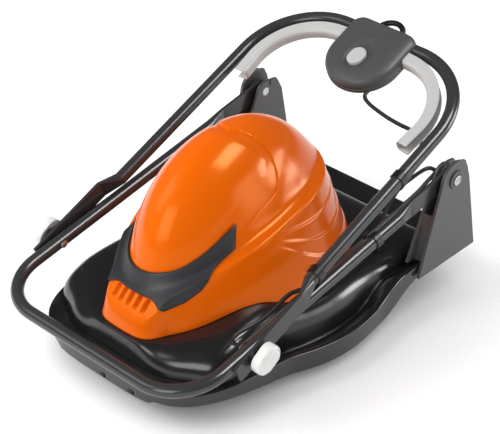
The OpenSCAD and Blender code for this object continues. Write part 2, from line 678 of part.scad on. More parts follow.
module armature_core() {
    color(steel)
    at_motor(core_z0) difference() {
        cylinder(r = core_r, h = core_h);
        translate([0, 0, -1]) cylinder(r = shaft_r + slip_gap, h = core_h + 2);
        for (k = [0:11]) rotate([0, 0, k * 30]) translate([core_r - 3, -1, -1]) cube([6, 2, core_h + 2]);
    }
}
module commutator() {
    color(copper)
    at_motor(core_z0 + core_h + 6) difference() {
        cylinder(r = comm_r, h = comm_h);
        translate([0, 0, -1]) cylinder(r = shaft_r + slip_gap, h = comm_h + 2);
    }
}

// Belt drive: flanged pulleys and a flat belt along their outer tangents
flange_h = 1.5;
belt_t = 3;
module pulley(r, bore_r) {
    difference() {
        union() {
            cylinder(r = r, h = belt_h);
            for (z = [-flange_h, belt_h]) translate([0, 0, z]) cylinder(r = r + belt_t - 0.5, h = flange_h);
        }
        translate([0, 0, -5]) cylinder(r = bore_r, h = belt_h + 10);
    }
}
module belt_outline(off) {
    s = asin((pulley_r - pinion_r) / motor_y);
    big = pulley_r + off;
    small = pinion_r + off;
    circle(r = big);
    translate([0, motor_y]) circle(r = small);
    polygon([[big * cos(s), big * sin(s)], [small * cos(s), motor_y + small * sin(s)],
        [-small * cos(s), motor_y + small * sin(s)], [-big * cos(s), big * sin(s)]]);
}
module drive_belt() {
    color(black)
    translate([0, 0, belt_z + 0.4]) linear_extrude(belt_h - 0.8) difference() {
        belt_outline(belt_t);
        belt_outline(seat_gap);
    }
}
module motor_pulley() color(steel) translate([0, motor_y, belt_z]) pulley(pinion_r, shaft_r + slip_gap);
module large_pulley() color(black) translate([0, 0, belt_z]) difference() {
    pulley(pulley_r, spindle_d / 2 + slip_gap);
    for (k = [0:5]) rotate([0, 0, k * 60]) translate([pulley_r * 0.58, 0, -5])
        cylinder(r = pulley_r * 0.2, h = belt_h + 10);
}

// Spindle stack: shaft, impeller, spacers, blade and blade bolt
spacer_h = 2.6;
spacer_r = 17;
bolt_r = 4;
hub_bottom = blade_z + blade_t + 2 * (spacer_h + slip_gap) + slip_gap;
shaft_top = belt_z + belt_h + 3;
fan_hub_r = 17;
fan_disc_t = 2.4;
fan_disc_z = hub_bottom + 6;
vane_h = 20;
vane_t = 2;
vane_r = 70;
vane_a = 62;
module spindle_shaft() {
    color(steel)
    translate([0, 0, hub_bottom]) difference() {
        cylinder(d = spindle_d, h = shaft_top - hub_bottom);
        translate([0, 0, -1]) cylinder(r = bolt_r + slip_gap, h = 21);
    }
}
module impeller() {
    color(black)
    difference() {
        union() {
            translate([0, 0, hub_bottom]) cylinder(r = fan_hub_r, h = hub_z0 - hub_bottom - 2);
            translate([0, 0, fan_disc_z]) cylinder(r = impeller_r, h = fan_disc_t);
            intersection() {
                for (k = [0:vane_n - 1]) rotate([0, 0, k * 360 / vane_n])
                    translate([fan_hub_r + 8 + vane_r, 0, fan_disc_z + fan_disc_t - 0.2])
                        rotate([0, 0, 180 - vane_a])
                        rotate_extrude(angle = vane_a) translate([vane_r, 0]) square([vane_t, vane_h]);
                cylinder(r = impeller_r - 2, h = 2 * hood_z);
            }
        }
        translate([0, 0, hub_bottom - 1]) cylinder(r = spindle_d / 2 + slip_gap, h = 60);
    }
}
module blade_spacers() {
    color(pale_grey)
    for (k = [0:1]) translate([0, 0, blade_z + blade_t + slip_gap + k * (spacer_h + slip_gap)]) difference() {
        cylinder(r = spacer_r, h = spacer_h);
        translate([0, 0, -1]) cylinder(r = bolt_r + slip_gap, h = spacer_h + 2);
    }
}
module cutting_blade() {
    half = blade_l / 2;
    w = blade_w / 2;
    color(steel)
    translate([0, 0, blade_z]) difference() {
        linear_extrude(blade_t)
            polygon([[-half, -w * 0.6], [-half + w * 0.7, -w], [half, -w], [half, w * 0.6],
            [half - w * 0.7, w], [-half, w]]);
        translate([0, 0, -1]) cylinder(r = bolt_r + slip_gap, h = blade_t + 2);
        for (k = [0, 180]) rotate([0, 0, k]) translate([half * 0.45, 0, 0]) rotate([90, 0, 90])
            linear_extrude(half)
            polygon([[-w - 1, 0.5], [-w + 7, blade_t + 0.5], [-w - 1, blade_t + 0.5]]);
        for (k = [0, 180], x = [half * 0.18, half * 0.3]) rotate([0, 0, k]) translate([x, 0, -1])
            cylinder(r = 4, h = blade_t + 2);
    }
}
module blade_bolt() {
    color(steel)
    translate([0, 0, blade_z - slip_gap]) {
        translate([0, 0, -9]) cylinder(r = 9, h = 7, $fn = 6);
        translate([0, 0, -2]) cylinder(r = 13, h = 2);
        translate([0, 0, -1]) cylinder(r = bolt_r, h = 24);
    }
}

// One leg of a tube handle from its flat end to a length along it, in the YZ plane
// flat_x is where the flat end lies beside the tube
module leg(x, flat_x, flat_l, tube_l) {
    translate([flat_x - strap_t / 2, 0, -strap_h / 2]) cube([strap_t, flat_l, strap_h]);
    hull() {
        translate([flat_x - strap_t / 2, flat_l, -strap_h / 2]) cube([strap_t, 0.1, strap_h]);
        translate([x, flat_l + strap_blend, 0]) rotate([-90, 0, 0])
            cylinder(r = tube_r - 0.15, h = 1, $fn = 32);
    }
    translate([x, 0, 0]) y_rod(tube_r, flat_l + strap_blend, tube_l);
}

// Lower handle: a U of tube, flattened into eyes at the pivots
module lower_handle() {
    run = lower_length - lower_bend_r;
    color(graphite)
    at_lower() difference() {
        union() {
            both_sides() {
                mirror([0, 1, 0]) leg(leg_x, leg_x, lower_strap_l, run);
                x_rod(strap_h / 2 + 1, leg_x - strap_t / 2, leg_x + strap_t / 2);
                translate([leg_x - lower_bend_r, -run, 0]) rotate([0, 0, -90]) bend(tube_r, lower_bend_r);
            }
            translate([0, -lower_length, 0]) x_rod(tube_r, lower_bend_r - leg_x, leg_x - lower_bend_r);
        }
        both_sides() {
            x_rod(pivot_d / 2 + run_gap, leg_x - tube_r - 1, leg_x + tube_r + 1);
            translate([0, -knob_distance, 0])
                x_rod(knob_bolt_d / 2 + slip_gap, leg_x - tube_r - 1, leg_x + tube_r + 1);
        }
    }
}

// Coach bolts through the lower legs, with domed heads on the inner side
washer_t = 4;
washer_x = upper_strap_x + strap_t / 2 + slip_gap;
knob_x = washer_x + washer_t + seat_gap;
bolt_end = knob_x + knob_h - 4;
module knob_bolts() {
    color(steel)
    at_lower() translate([0, -knob_distance, 0]) both_sides() {
        x_rod(knob_bolt_d / 2, leg_x - tube_r - 1, bolt_end);
        translate([leg_x - tube_r - slip_gap, 0, 0]) rotate([0, -90, 0]) intersection() {
            cylinder(r = knob_bolt_d, h = knob_bolt_d);
            translate([0, 0, -knob_bolt_d]) sphere(r = knob_bolt_d * 1.5);
        }
    }
}

// Cable clip: a band round the tube with a small eye for the cable
clip_w = 12;
clip_t = 2;
eye_gap = tube_r + cable_d / 2 + 0.6;
module clip() {
    eye = cable_d / 2 + slip_gap + 0.2;
    rotate([-90, 0, 0]) translate([0, 0, -clip_w / 2]) difference() {
        union() {
            cylinder(r = tube_r + slip_gap + clip_t, h = clip_w);
            translate([-eye_gap, 0, 0]) cylinder(r = eye + clip_t, h = clip_w);
        }
        translate([0, 0, -1]) cylinder(r = tube_r + slip_gap, h = clip_w + 2);
        translate([-eye_gap, 0, -1]) cylinder(r = eye, h = clip_w + 2);
    }
}
lower_clip_y = -170;
upper_clip_s = [upper_flat_end + 15, grip_s - 90];
module lower_clip() color(black) at_lower() translate([leg_x, lower_clip_y, 0]) clip();
module upper_clips() {
    color(black)
    at_upper() for (s = upper_clip_s) translate([leg_x, s, 0]) rotate([0, -90, 0]) clip();
}

module cable_lower() color(black) at_lower() translate([0, -knob_distance, 0])
    cable(cable_lower_route, [0, 0, 1], 2);
module cable_upper() color(black) at_upper() cable(cable_upper_route, [0, 0, 1], 2);
module cable_deck() color(black) cable(cable_deck_route, [0.3, 0.2, 1], 2);
// Rubber gland where the cable goes down behind the hood
module cable_gland() {
    color(black)
    translate([gland_x, gland_y, gland_z]) difference() {
        union() {
            cylinder(r = cable_d / 2 + 4, h = 6);
            cylinder(r = cable_d / 2 + 2, h = 10);
        }
        translate([0, 0, -1]) cylinder(r = cable_d / 2 + 0.4, h = 20);
    }
}

// Upper handle: a wider U whose flat ends lie outside the lower legs
module upper_handle() {
    color(graphite)
    at_upper() difference() {
        union() {
            both_sides() {
                leg(leg_x, upper_strap_x, upper_strap_l, grip_s);
                translate([upper_strap_x - strap_t / 2, -strap_over, -strap_h / 2])
                    cube([strap_t, strap_over + 1, strap_h]);
                translate([grip_x, grip_s, 0]) bend(tube_r, upper_bend_r);
            }
            translate([0, upper_length, 0]) x_rod(tube_r, -grip_x, grip_x);
        }
        both_sides() x_rod(knob_bolt_d / 2 + run_gap, leg_x, leg_x + 2 * tube_r);
    }
}

// Cupped washers between the flat ends and the knobs
module knob_washers() {
    color(black)
    at_upper() both_sides() difference() {
        x_rod(knob_w / 2 - 1, washer_x, washer_x + washer_t);
        x_rod(knob_bolt_d / 2 + run_gap, washer_x - 1, washer_x + washer_t + 1);
    }
}

// Clamp knob: an oval grip with a stepped face, turned to lock the joint
knob_step = 4;
knob_shift = 4;
knob_turn = 10;
module knob_body() {
    difference() {
        translate([0, knob_shift, 0]) rotate([0, 90, 0]) {
            stadium(knob_w, knob_l, knob_h - knob_step);
            stadium(knob_w - 2 * knob_step, knob_l - 2 * knob_step, knob_h);
        }
        x_rod(knob_bolt_d / 2 + run_gap, -1, knob_h - 3);
    }
}
module right_knob() color(pale_grey) at_upper() translate([knob_x, 0, 0]) rotate([knob_turn, 0, 0])
    knob_body();
module left_knob() mirror([1, 0, 0]) right_knob();

// Switch box: a D-shaped case round the grip bar, in two halves
box_s = upper_length - 48;
box_rear = upper_length + tube_r + 3;
crown_steps = 9;
// Half section of one half of the box: the crown's height falls to the parting line at the edge
function crown(hw, h) = [for (k = [0:crown_steps]) let (q = 90 * k / crown_steps)
    [hw * pow(sin(q), 0.55), h * pow(cos(q), 0.55)]];
module half_box(hw, h, rear) {
    translate([0, box_s, 0]) {
        rotate([0, 0, 180]) rotate_extrude(angle = 180) polygon(concat([[0, 0]], crown(hw, h)));
        translate([0, rear - box_s, 0]) rotate([90, 0, 0]) linear_extrude(rear - box_s)
            polygon(concat(crown(hw, h),
                [for (k = [crown_steps:-1:1]) let (p = crown(hw, h)[k]) [-p[0], p[1]]]));
    }
}
button_s = upper_length - 62;
button_w = 24;
button_l = 30;
pin_r = 3;
pin_x = 44;
pin_s = upper_length - 27;
arm_h = 8;
slot_low = upper_length - 45;
slot_high = upper_length - 11;
box_screw_xy = [for (x = [-28, 28]) [x, upper_length - 78], for (x = [-20, 20]) [x, upper_length - 22]];
box_screw_r = 1.4;
box_head_r = 2.4;
screw_boss_r = 4;
module stadium(w, l, h) {
    translate([-w / 2, -(l - w) / 2, 0]) cube([w, l - w, h]);
    for (y = [-(l - w) / 2, (l - w) / 2]) translate([0, y, 0]) cylinder(d = w, h = h);
}
// What both halves leave free: the grip bar, the lever arms, the pins and the screws
module box_cuts() {
    translate([0, upper_length, 0]) x_rod(tube_r + slip_gap, -2 * box_hw, 2 * box_hw);
    both_sides() {
        translate([box_hw - 12, slot_low, -arm_h / 2 - 1.5]) cube([20, slot_high - slot_low, arm_h + 3]);
        translate([pin_x, pin_s, -base_h + 2]) cylinder(r = pin_r + slip_gap, h = base_h + cover_h - 7);
    }
    for (p = box_screw_xy) translate([p[0], p[1], -base_h])
        cylinder(r = box_screw_r + slip_gap, h = base_h + 9);
}
module switch_cover() {
    color(graphite)
    at_upper() difference() {
        union() {
            difference() {
                half_box(box_hw, cover_h, box_rear);
                translate([0, 0, -0.01]) half_box(box_hw - box_wall, cover_h - box_wall, box_rear - box_wall);
            }
            intersection() {
                half_box(box_hw - 1, cover_h - 1, box_rear - 1);
                union() {
                    both_sides() translate([pin_x, pin_s, arm_h / 2 + 1])
                        cylinder(r = pin_r + 3, h = cover_h);
                    for (p = box_screw_xy) translate([p[0], p[1], 0]) cylinder(r = screw_boss_r, h = cover_h);
                }
            }
        }
        box_cuts();
        translate([0, button_s, 0]) stadium(button_w + 2 * seat_gap, button_l + 2 * seat_gap, 2 * cover_h);
    }
}
mains_in = [-14, upper_length - 78];
module switch_base() {
    color(graphite)
    at_upper() difference() {
        union() {
            difference() {
                mirror([0, 0, 1]) half_box(box_hw, base_h, box_rear);
                translate([0, 0, 0.01]) mirror([0, 0, 1])
                    half_box(box_hw - box_wall, base_h - box_wall, box_rear - box_wall);
            }
            intersection() {
                mirror([0, 0, 1]) half_box(box_hw - 1, base_h - 1, box_rear - 1);
                union() {
                    both_sides() translate([pin_x, pin_s, -base_h])
                        cylinder(r = pin_r + 3, h = base_h - arm_h / 2 - 1);
                    for (p = box_screw_xy) translate([p[0], p[1], -base_h])
                        cylinder(r = screw_boss_r, h = base_h);
                }
            }
        }
        box_cuts();
        translate([cable_out[0], box_s, cable_out[2]]) rotate([90, 0, 0])
            cylinder(r = cable_d / 2 + 1, h = box_hw + 5);
        translate([mains_in[0], mains_in[1], -base_h - 1]) cylinder(r = 5, h = base_h);
        for (p = box_screw_xy) translate([p[0], p[1], -base_h - 1])
            cylinder(r = box_head_r + slip_gap, h = 5);
    }
}
module box_screws() {
    color(steel)
    at_upper() for (p = box_screw_xy) translate([p[0], p[1], -base_h + 0.5]) {
        cylinder(r = box_head_r, h = 3);
        cylinder(r = box_screw_r, h = base_h + 7);
    }
}
// Switch under the button, with a sprung plunger that lifts the button again
switch_h = 12;
plunger_h = 2;
switch_floor = -base_h + box_wall + seat_gap;
switch_top = switch_floor + switch_h + plunger_h;
module microswitch() {
    color(black)
    at_upper() translate([0, button_s, switch_floor]) {
        translate([-10, -6, 0]) cube([20, 12, switch_h]);
        translate([0, 0, switch_h - 1]) cylinder(r = 2, h = plunger_h + 1);
    }
}
module lever_pins() {
    color(steel)
    at_upper() both_sides() translate([pin_x, pin_s, -base_h + 3])
        cylinder(r = pin_r, h = base_h + cover_h - 9);
}

// Ring on the rear edge of the box that takes a loop of the mains cable
ring_x = 4;
ring_r = 22;
ring_bar = 4.5;
module cable_ring() {
    color(black)
    at_upper() difference() {
        translate([ring_x, box_rear - 6, 6]) rotate_extrude() translate([ring_r, 0]) circle(r = ring_bar);
        half_box(box_hw + slip_gap, cover_h + slip_gap, box_rear + slip_gap);
    }
}
// Grommet in the underside of the box for the mains cable
module mains_grommet() {
    color(black)
    at_upper() translate([mains_in[0], mains_in[1], -base_h]) difference() {
        union() {
            translate([0, 0, -0.5]) cylinder(r = 5 - slip_gap, h = 6);
            translate([0, 0, -3 - seat_gap]) cylinder(r = 6.5, h = 3);
        }
        translate([0, 0, -5]) cylinder(r = cable_d / 2, h = 20);
    }
}

// Lock-off button: an oval cap on a wider foot that stays under the cover, with a stem to the switch
button_proud = 3;
foot_t = 3.5;
foot_n = cover_h - box_wall - foot_t - 1.3;
stem_n = switch_top + button_travel + seat_gap;
module lock_button() {
    color(pale_grey)
    at_upper() translate([0, button_s, 0]) {
        translate([0, 0, foot_n]) stadium(button_w, button_l, cover_h + button_proud - foot_n);
        translate([0, 0, foot_n]) stadium(button_w + 5, button_l + 5, foot_t);
        translate([0, 0, stem_n]) cylinder(r = 3, h = foot_n - stem_n + 1);
    }
}

// Switch lever: a channel bent round the inside of the grip bar, open towards it
lever_in = tube_r + 22;
lever_out = tube_r + 1.5;
lever_t = 2.5;
lever_n = 7.5;
lever_end = 34;
lever_root = grip_x - box_hw - 2;
// Band between two radii about the bend's centre: a quarter turn, a straight tail and a straight root
module lever_band(r0, r1, n, h) {
    translate([0, 0, n]) linear_extrude(h) {
        intersection() {
            difference() {
                circle(r = r1);
                circle(r = r0);
            }
            square(r1 + 1);
        }
        translate([r0, -lever_end]) square([r1 - r0, lever_end]);
        translate([-lever_root, r0]) square([lever_root, r1 - r0]);
    }
}
module right_lever() {
    hand_r = upper_bend_r - lever_in;
    arm_s = grip_s + hand_r;
    color(pale_grey)
    at_upper() translate([pin_x, pin_s, 0]) rotate([0, 0, -lever_swing])
        translate([-pin_x, -pin_s, 0]) difference() {
        union() {
            translate([grip_x, grip_s, 0]) {
                lever_band(hand_r, hand_r + lever_t, -lever_n - lever_t, 2 * (lever_n + lever_t));
                for (n = [-lever_n - lever_t, lever_n])
                    lever_band(hand_r, upper_bend_r - lever_out, n, lever_t);
            }
            translate([pin_x, pin_s, -arm_h / 2]) cylinder(r = pin_r + 4, h = arm_h);
            translate([pin_x, arm_s, -arm_h / 2]) cube([grip_x - pin_x + 6, 14, arm_h]);
        }
        translate([pin_x, pin_s, -base_h]) cylinder(r = pin_r + run_gap, h = base_h + cover_h);
    }
}
module left_lever() mirror([1, 0, 0]) right_lever();

deck_shell();
fan_shroud();
left_bracket();
right_bracket();
pivot_bolts();
pivot_nuts();
motor_hood();
nose_trim();
hood_screws();
motor_mount();
spindle_bearings();
motor_can();
motor_end_cap();
stator_core();
carbon_brushes();
drive_belt();
cable_gland();
cable_deck();
motor_shaft();
armature_core();
commutator();
motor_pulley();
spindle_shaft();
large_pulley();
impeller();
blade_spacers();
cutting_blade();
blade_bolt();
lower_handle();
knob_bolts();
lower_clip();
cable_lower();
upper_handle();
knob_washers();
upper_clips();
cable_upper();
switch_cover();
switch_base();
box_screws();
microswitch();
lever_pins();
cable_ring();
mains_grommet();
lock_button();
left_lever();
right_lever();
left_knob();
right_knob();
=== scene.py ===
import json
from math import radians

import bmesh
import bpy
import numpy as np
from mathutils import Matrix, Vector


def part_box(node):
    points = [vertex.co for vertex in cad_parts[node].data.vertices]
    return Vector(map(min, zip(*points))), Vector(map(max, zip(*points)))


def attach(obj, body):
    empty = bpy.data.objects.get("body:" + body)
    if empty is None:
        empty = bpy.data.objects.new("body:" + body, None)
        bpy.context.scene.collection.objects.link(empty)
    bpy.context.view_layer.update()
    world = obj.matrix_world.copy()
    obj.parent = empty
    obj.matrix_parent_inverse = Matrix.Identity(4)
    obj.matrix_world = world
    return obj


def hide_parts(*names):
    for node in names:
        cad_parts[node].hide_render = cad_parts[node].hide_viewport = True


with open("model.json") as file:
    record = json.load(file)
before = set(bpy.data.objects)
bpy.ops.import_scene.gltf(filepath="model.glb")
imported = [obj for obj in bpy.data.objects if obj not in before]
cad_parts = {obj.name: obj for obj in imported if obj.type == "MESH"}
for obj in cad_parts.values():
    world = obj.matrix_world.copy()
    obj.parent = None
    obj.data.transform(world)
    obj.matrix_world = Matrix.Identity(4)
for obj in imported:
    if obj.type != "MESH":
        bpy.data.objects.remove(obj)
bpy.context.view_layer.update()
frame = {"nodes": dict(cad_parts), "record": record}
nodes = frame["nodes"]
scene = bpy.context.scene

# Camera: the photograph looks at the mower over its front right corner, from about a third of the way up.
# A long lens some 2.6 m away keeps the two legs of the handle nearly parallel.
LENS_MM, SENSOR_MM = 123.55, 36
CAMERA_PLACE = (1.4353, -1.5227, 1.5651)
CAMERA_TILT, CAMERA_TURN = 56, 43.17
camera_data = bpy.data.cameras.new("camera")
camera_data.lens = LENS_MM
camera_data.sensor_width = SENSOR_MM
camera = bpy.data.objects.new("camera", camera_data)
camera.location = CAMERA_PLACE
camera.rotation_euler = (radians(CAMERA_TILT), 0, radians(CAMERA_TURN))
scene.collection.objects.link(camera)
scene.camera = camera
scene.view_settings.view_transform = "Standard"

# Studio: a white sweep, bright to the camera and dimmer in reflections, so that gloss keeps its colour.
# The floor is a plain pale sheet that takes a soft shadow to the rear right.
CAMERA_WHITE = 1.0
GLOSS_FILL = 0.08
DIFFUSE_FILL = 1.08
FLOOR_HALF, FLOOR_TONE = 6.0, 0.96
world = bpy.data.worlds.new("studio")
scene.world = world
world.use_nodes = True
tree = world.node_tree
backdrop = tree.nodes["Background"]
light_path = tree.nodes.new("ShaderNodeLightPath")
for_gloss = tree.nodes.new("ShaderNodeMix")
for_gloss.inputs["A"].default_value = DIFFUSE_FILL
for_gloss.inputs["B"].default_value = GLOSS_FILL
for_camera = tree.nodes.new("ShaderNodeMix")
for_camera.inputs["B"].default_value = CAMERA_WHITE
tree.links.new(light_path.outputs["Is Glossy Ray"], for_gloss.inputs["Factor"])
tree.links.new(for_gloss.outputs["Result"], for_camera.inputs["A"])
tree.links.new(light_path.outputs["Is Camera Ray"], for_camera.inputs["Factor"])
tree.links.new(for_camera.outputs["Result"], backdrop.inputs["Strength"])
backdrop.inputs["Color"].default_value = (1, 1, 1, 1)

floor_mesh = bpy.data.meshes.new("floor")
floor_corners = [(x * FLOOR_HALF, y * FLOOR_HALF, 0) for x, y in ((-1, -1), (1, -1), (1, 1), (-1, 1))]
floor_mesh.from_pydata(floor_corners, [], [(0, 1, 2, 3)])
floor = bpy.data.objects.new("floor", floor_mesh)
scene.collection.objects.link(floor)
floor_look = bpy.data.materials.new("floor")
floor_look.use_nodes = True
floor_paint = floor_look.node_tree.nodes["Principled BSDF"]
floor_paint.inputs["Base Color"].default_value = (FLOOR_TONE, FLOOR_TONE, FLOOR_TONE, 1)
floor_paint.inputs["Roughness"].default_value = 0.9
floor_paint.inputs["Specular IOR Level"].default_value = 0.1
floor_mesh.materials.append(floor_look)

# Lights: a broad key box at the front left gives the even light, and smaller ones only show in gloss: the
# key's bright middle, a window over the right shoulder, a soft front box, a low strip and a pane low behind.
AIM = np.array([0, 0, 0.2])


def softbox(name, azimuth, elevation, distance, size, power, gloss_only):
    """Rectangular light turned to the mower's middle, azimuth degrees round from the nose to the right."""
    data = bpy.data.lights.new(name, "AREA")
    data.shape = "RECTANGLE"
    data.size, data.size_y = size
    data.energy = power
    lamp = bpy.data.objects.new(name, data)
    a, e = radians(azimuth), radians(elevation)
    outward = np.array([np.sin(a) * np.cos(e), -np.cos(a) * np.cos(e), np.sin(e)])
    lamp.location = outward * distance + AIM
    lamp.rotation_euler = (radians(90) - e, 0, a)
    lamp.visible_diffuse = not gloss_only
    lamp.visible_glossy = gloss_only
    scene.collection.objects.link(lamp)


softbox("key", azimuth=-42, elevation=38, distance=3.0, size=(2.2, 2.2), power=57, gloss_only=False)
softbox("key_middle", azimuth=-36, elevation=38, distance=3.0, size=(1.5, 1.4), power=16, gloss_only=True)
softbox("window", azimuth=122, elevation=56, distance=2.6, size=(1.3, 1.0), power=60, gloss_only=True)
softbox("front", azimuth=10, elevation=22, distance=2.8, size=(1.4, 1.4), power=31, gloss_only=True)
softbox("strip", azimuth=116, elevation=6, distance=3.0, size=(0.9, 0.9), power=9, gloss_only=True)
softbox("pane", azimuth=142, elevation=5, distance=3.0, size=(1.2, 0.8), power=36, gloss_only=True)

# Motor hood: a glossy orange moulding, one thin shell with an egg standing on a broader body.
# Five air slots are cut through its nose and two screws hold its sides.
MM = 0.001
HOOD_Z = 92
HOOD_HALF_W, HOOD_FRONT, HOOD_REAR = 144, 258, 172
HOOD_WALL, HOOD_DRAFT = 2.6, 0.29
NOSE_HALF_W, NOSE_POWER = 70, 4.5
FLANK_BACK, FLANK_POWER = 8, 1.9
EDGE_RISE, FLANK_ARCH = 3, 22
ARCH_UP_A, ARCH_DOWN_A = (11, 44), (46, 75)
ROOF_SPREAD, ROOF_BLEND = 1.96, 10
CREASE_ROUND, EGG_ROUND = 1.2, 1.0
HOOD_O = np.array([0.0, 0.0, HOOD_Z])
# Three ellipsoids, each given by its centre, its half axes and its tilt in degrees
EGG = (np.array([0.0, -38.0, HOOD_Z + 49]), np.array([94.0, 177.0, 185.0]), 15)
CROWN = (np.array([0.0, -31.0, HOOD_Z - 25]), np.array([106.0, 200.0, 260.0]), 0)
ROOF = (np.array([0.0, 38.0, HOOD_Z + 14]), np.array([HOOD_HALF_W * ROOF_SPREAD, 306.0, 118.0]), 6)


def sin_d(a):
    """Sine of degrees."""
    return np.sin(np.radians(a))


def cos_d(a):
    """Cosine of degrees."""
    return np.cos(np.radians(a))


def smooth_max(a, b, k):
    """The larger of two values, with the change-over rounded over a width k."""
    return (a + b + np.sqrt((a - b) ** 2 + k * k)) / 2


def smooth_step(lo, hi, x):
    """0 below lo and 1 above hi, with an even S curve between."""
    t = np.clip((x - lo) / (hi - lo), 0, 1)
    return t * t * (3 - 2 * t)


def superellipse(x, y, a, b, power):
    """Distance from the origin to a superellipse with half axes a and b, in direction x, y."""
    return (np.abs(x / a) ** power + np.abs(y / b) ** power) ** (-1 / power)


def off_nose(a):
    """Plan angle away from the nose, to either side."""
    return np.abs((a + 180) % 360 - 180)


def hood_plan(a):
    """Plan radius of the hood's foot: a half ellipse behind, a blunt nose and two flanks in front."""
    x, y = sin_d(a), -cos_d(a)
    flank = superellipse(x, y, HOOD_HALF_W, HOOD_FRONT - FLANK_BACK, FLANK_POWER)
    nose = superellipse(x, y, NOSE_HALF_W, HOOD_FRONT, NOSE_POWER)
    rear = superellipse(x, y, HOOD_HALF_W, HOOD_REAR, 2)
    return np.where(y >= 0, rear, smooth_max(flank, nose, FLANK_BACK))


def hood_ray(a, e):
    """Direction at plan angle a from the nose and rise e above the foot."""
    return np.stack([sin_d(a) * cos_d(e), -cos_d(a) * cos_d(e), sin_d(e) + 0 * a], -1)


def ellipsoid_r(d, form):
    """Distance along d from the hood's centre to the far side of a tilted ellipsoid."""
    centre, half_axes, tilt = form
    turn = np.array([[1, 0, 0], [0, cos_d(tilt), sin_d(tilt)], [0, -sin_d(tilt), cos_d(tilt)]])
    u = d @ turn.T / half_axes
    w = turn @ (HOOD_O - centre) / half_axes
    uu, uw = (u * u).sum(-1), u @ w
    return (-uw + np.sqrt(np.maximum(0, uw * uw - uu * (w @ w - 1)))) / uu


def wall_r(a, e):
    """Distance to the side wall: a cone over the plan, drawn in by its draft for each step up."""
    return hood_plan(a) / (cos_d(e) + HOOD_DRAFT * sin_d(e))


def roof_r(a, e):
    """Distance to the roof: the farther of two ellipsoids, blended."""
    d = hood_ray(a, e)
    return smooth_max(ellipsoid_r(d, CROWN), ellipsoid_r(d, ROOF), ROOF_BLEND)


def edge_rise(a):
    """Height of the hood's foot above the nose: it arches over the flanks and settles lower at the sides."""
    arch = (EDGE_RISE + FLANK_ARCH) * smooth_step(*ARCH_UP_A, off_nose(a))
    return arch - FLANK_ARCH * smooth_step(*ARCH_DOWN_A, off_nose(a))


def edge_e(a):
    """Rise angle of the hood's foot."""
    return np.degrees(np.arctan2(edge_rise(a), hood_plan(a)))


LADDER_E = np.linspace(1, 75, 1200)[:, None]


def first_rise(a, over):
    """Lowest rise at which over(a, e) turns positive at each plan angle, on a fine ladder of rises."""
    return LADDER_E[np.argmax(over(a[None] + 0 * LADDER_E, LADDER_E + 0 * a[None]) > 0, 0), 0]


def egg_r(a, e):
    """Distance to the egg."""
    return ellipsoid_r(hood_ray(a, e), EGG)


CREASE_A = np.linspace(0, 180, 361)
CREASE_E = first_rise(CREASE_A, lambda a, e: wall_r(a, e) - roof_r(a, e))
STEPS = (0.16, 0.42, 0.70)
STEP_IN, STEP_SOFT = 2.0, 0.025
FAN_A, STEP_A = (40, 115), (40, 95)


def side_steps(a, e):
    """How far three moulded steps, which fan out from the crease to the rear, draw in the side wall."""
    foot = edge_e(a)
    up = (e - foot) / (np.interp(off_nose(a), CREASE_A, CREASE_E) - foot)
    fan = smooth_step(*FAN_A, off_nose(a))
    drawn = sum(smooth_step(-STEP_SOFT, STEP_SOFT, up - 1 + fan * f) for f in STEPS)
    return STEP_IN * drawn * smooth_step(*STEP_A, off_nose(a))


def hood_r(a, e):
    """The egg where it stands proud, else the lower of side wall and roof, with rounded creases."""
    body = -smooth_max(-(wall_r(a, e) - side_steps(a, e)), -roof_r(a, e), CREASE_ROUND)
    return smooth_max(body, egg_r(a, e), EGG_ROUND)


def hood_point(a, e, off):
    """Point of the hood's surface, moved outwards along its ray by off."""
    return HOOD_O + (hood_r(a, e) + off)[..., None] * hood_ray(a, e)


WELD_MM = 0.001


def grid_mesh(name, points, wrap_cols=False, wrap_rows=False):
    """Smooth mesh of quads over a rows-by-columns grid of points in millimetres. Points that fall
    together, as at a pole or a closed end, are welded, and the faces turned outwards."""
    rows, cols = points.shape[:2]
    index = np.arange(rows * cols).reshape(rows, cols)
    if wrap_cols:
        index = np.concatenate([index, index[:, :1]], 1)
    if wrap_rows:
        index = np.concatenate([index, index[:1]], 0)
    quads = np.stack([index[:-1, :-1], index[:-1, 1:], index[1:, 1:], index[1:, :-1]], -1).reshape(-1, 4)
    mesh = bpy.data.meshes.new(name)
    mesh.from_pydata((points.reshape(-1, 3) * MM).tolist(), [], quads.tolist())
    weld = bmesh.new()
    weld.from_mesh(mesh)
    bmesh.ops.remove_doubles(weld, verts=weld.verts, dist=WELD_MM * MM)
    bmesh.ops.recalc_face_normals(weld, faces=weld.faces)
    weld.to_mesh(mesh)
    weld.free()
    mesh.shade_smooth()
    return mesh


def add_piece(mesh, body, slot, *replaced):
    """Object for a mesh that moves with a body and stands for the CAD nodes that it hides. The slot is not
    used.
    """
    piece = bpy.data.objects.new(mesh.name, mesh)
    scene.collection.objects.link(piece)
    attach(piece, body)
    if replaced:
        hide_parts(*replaced)


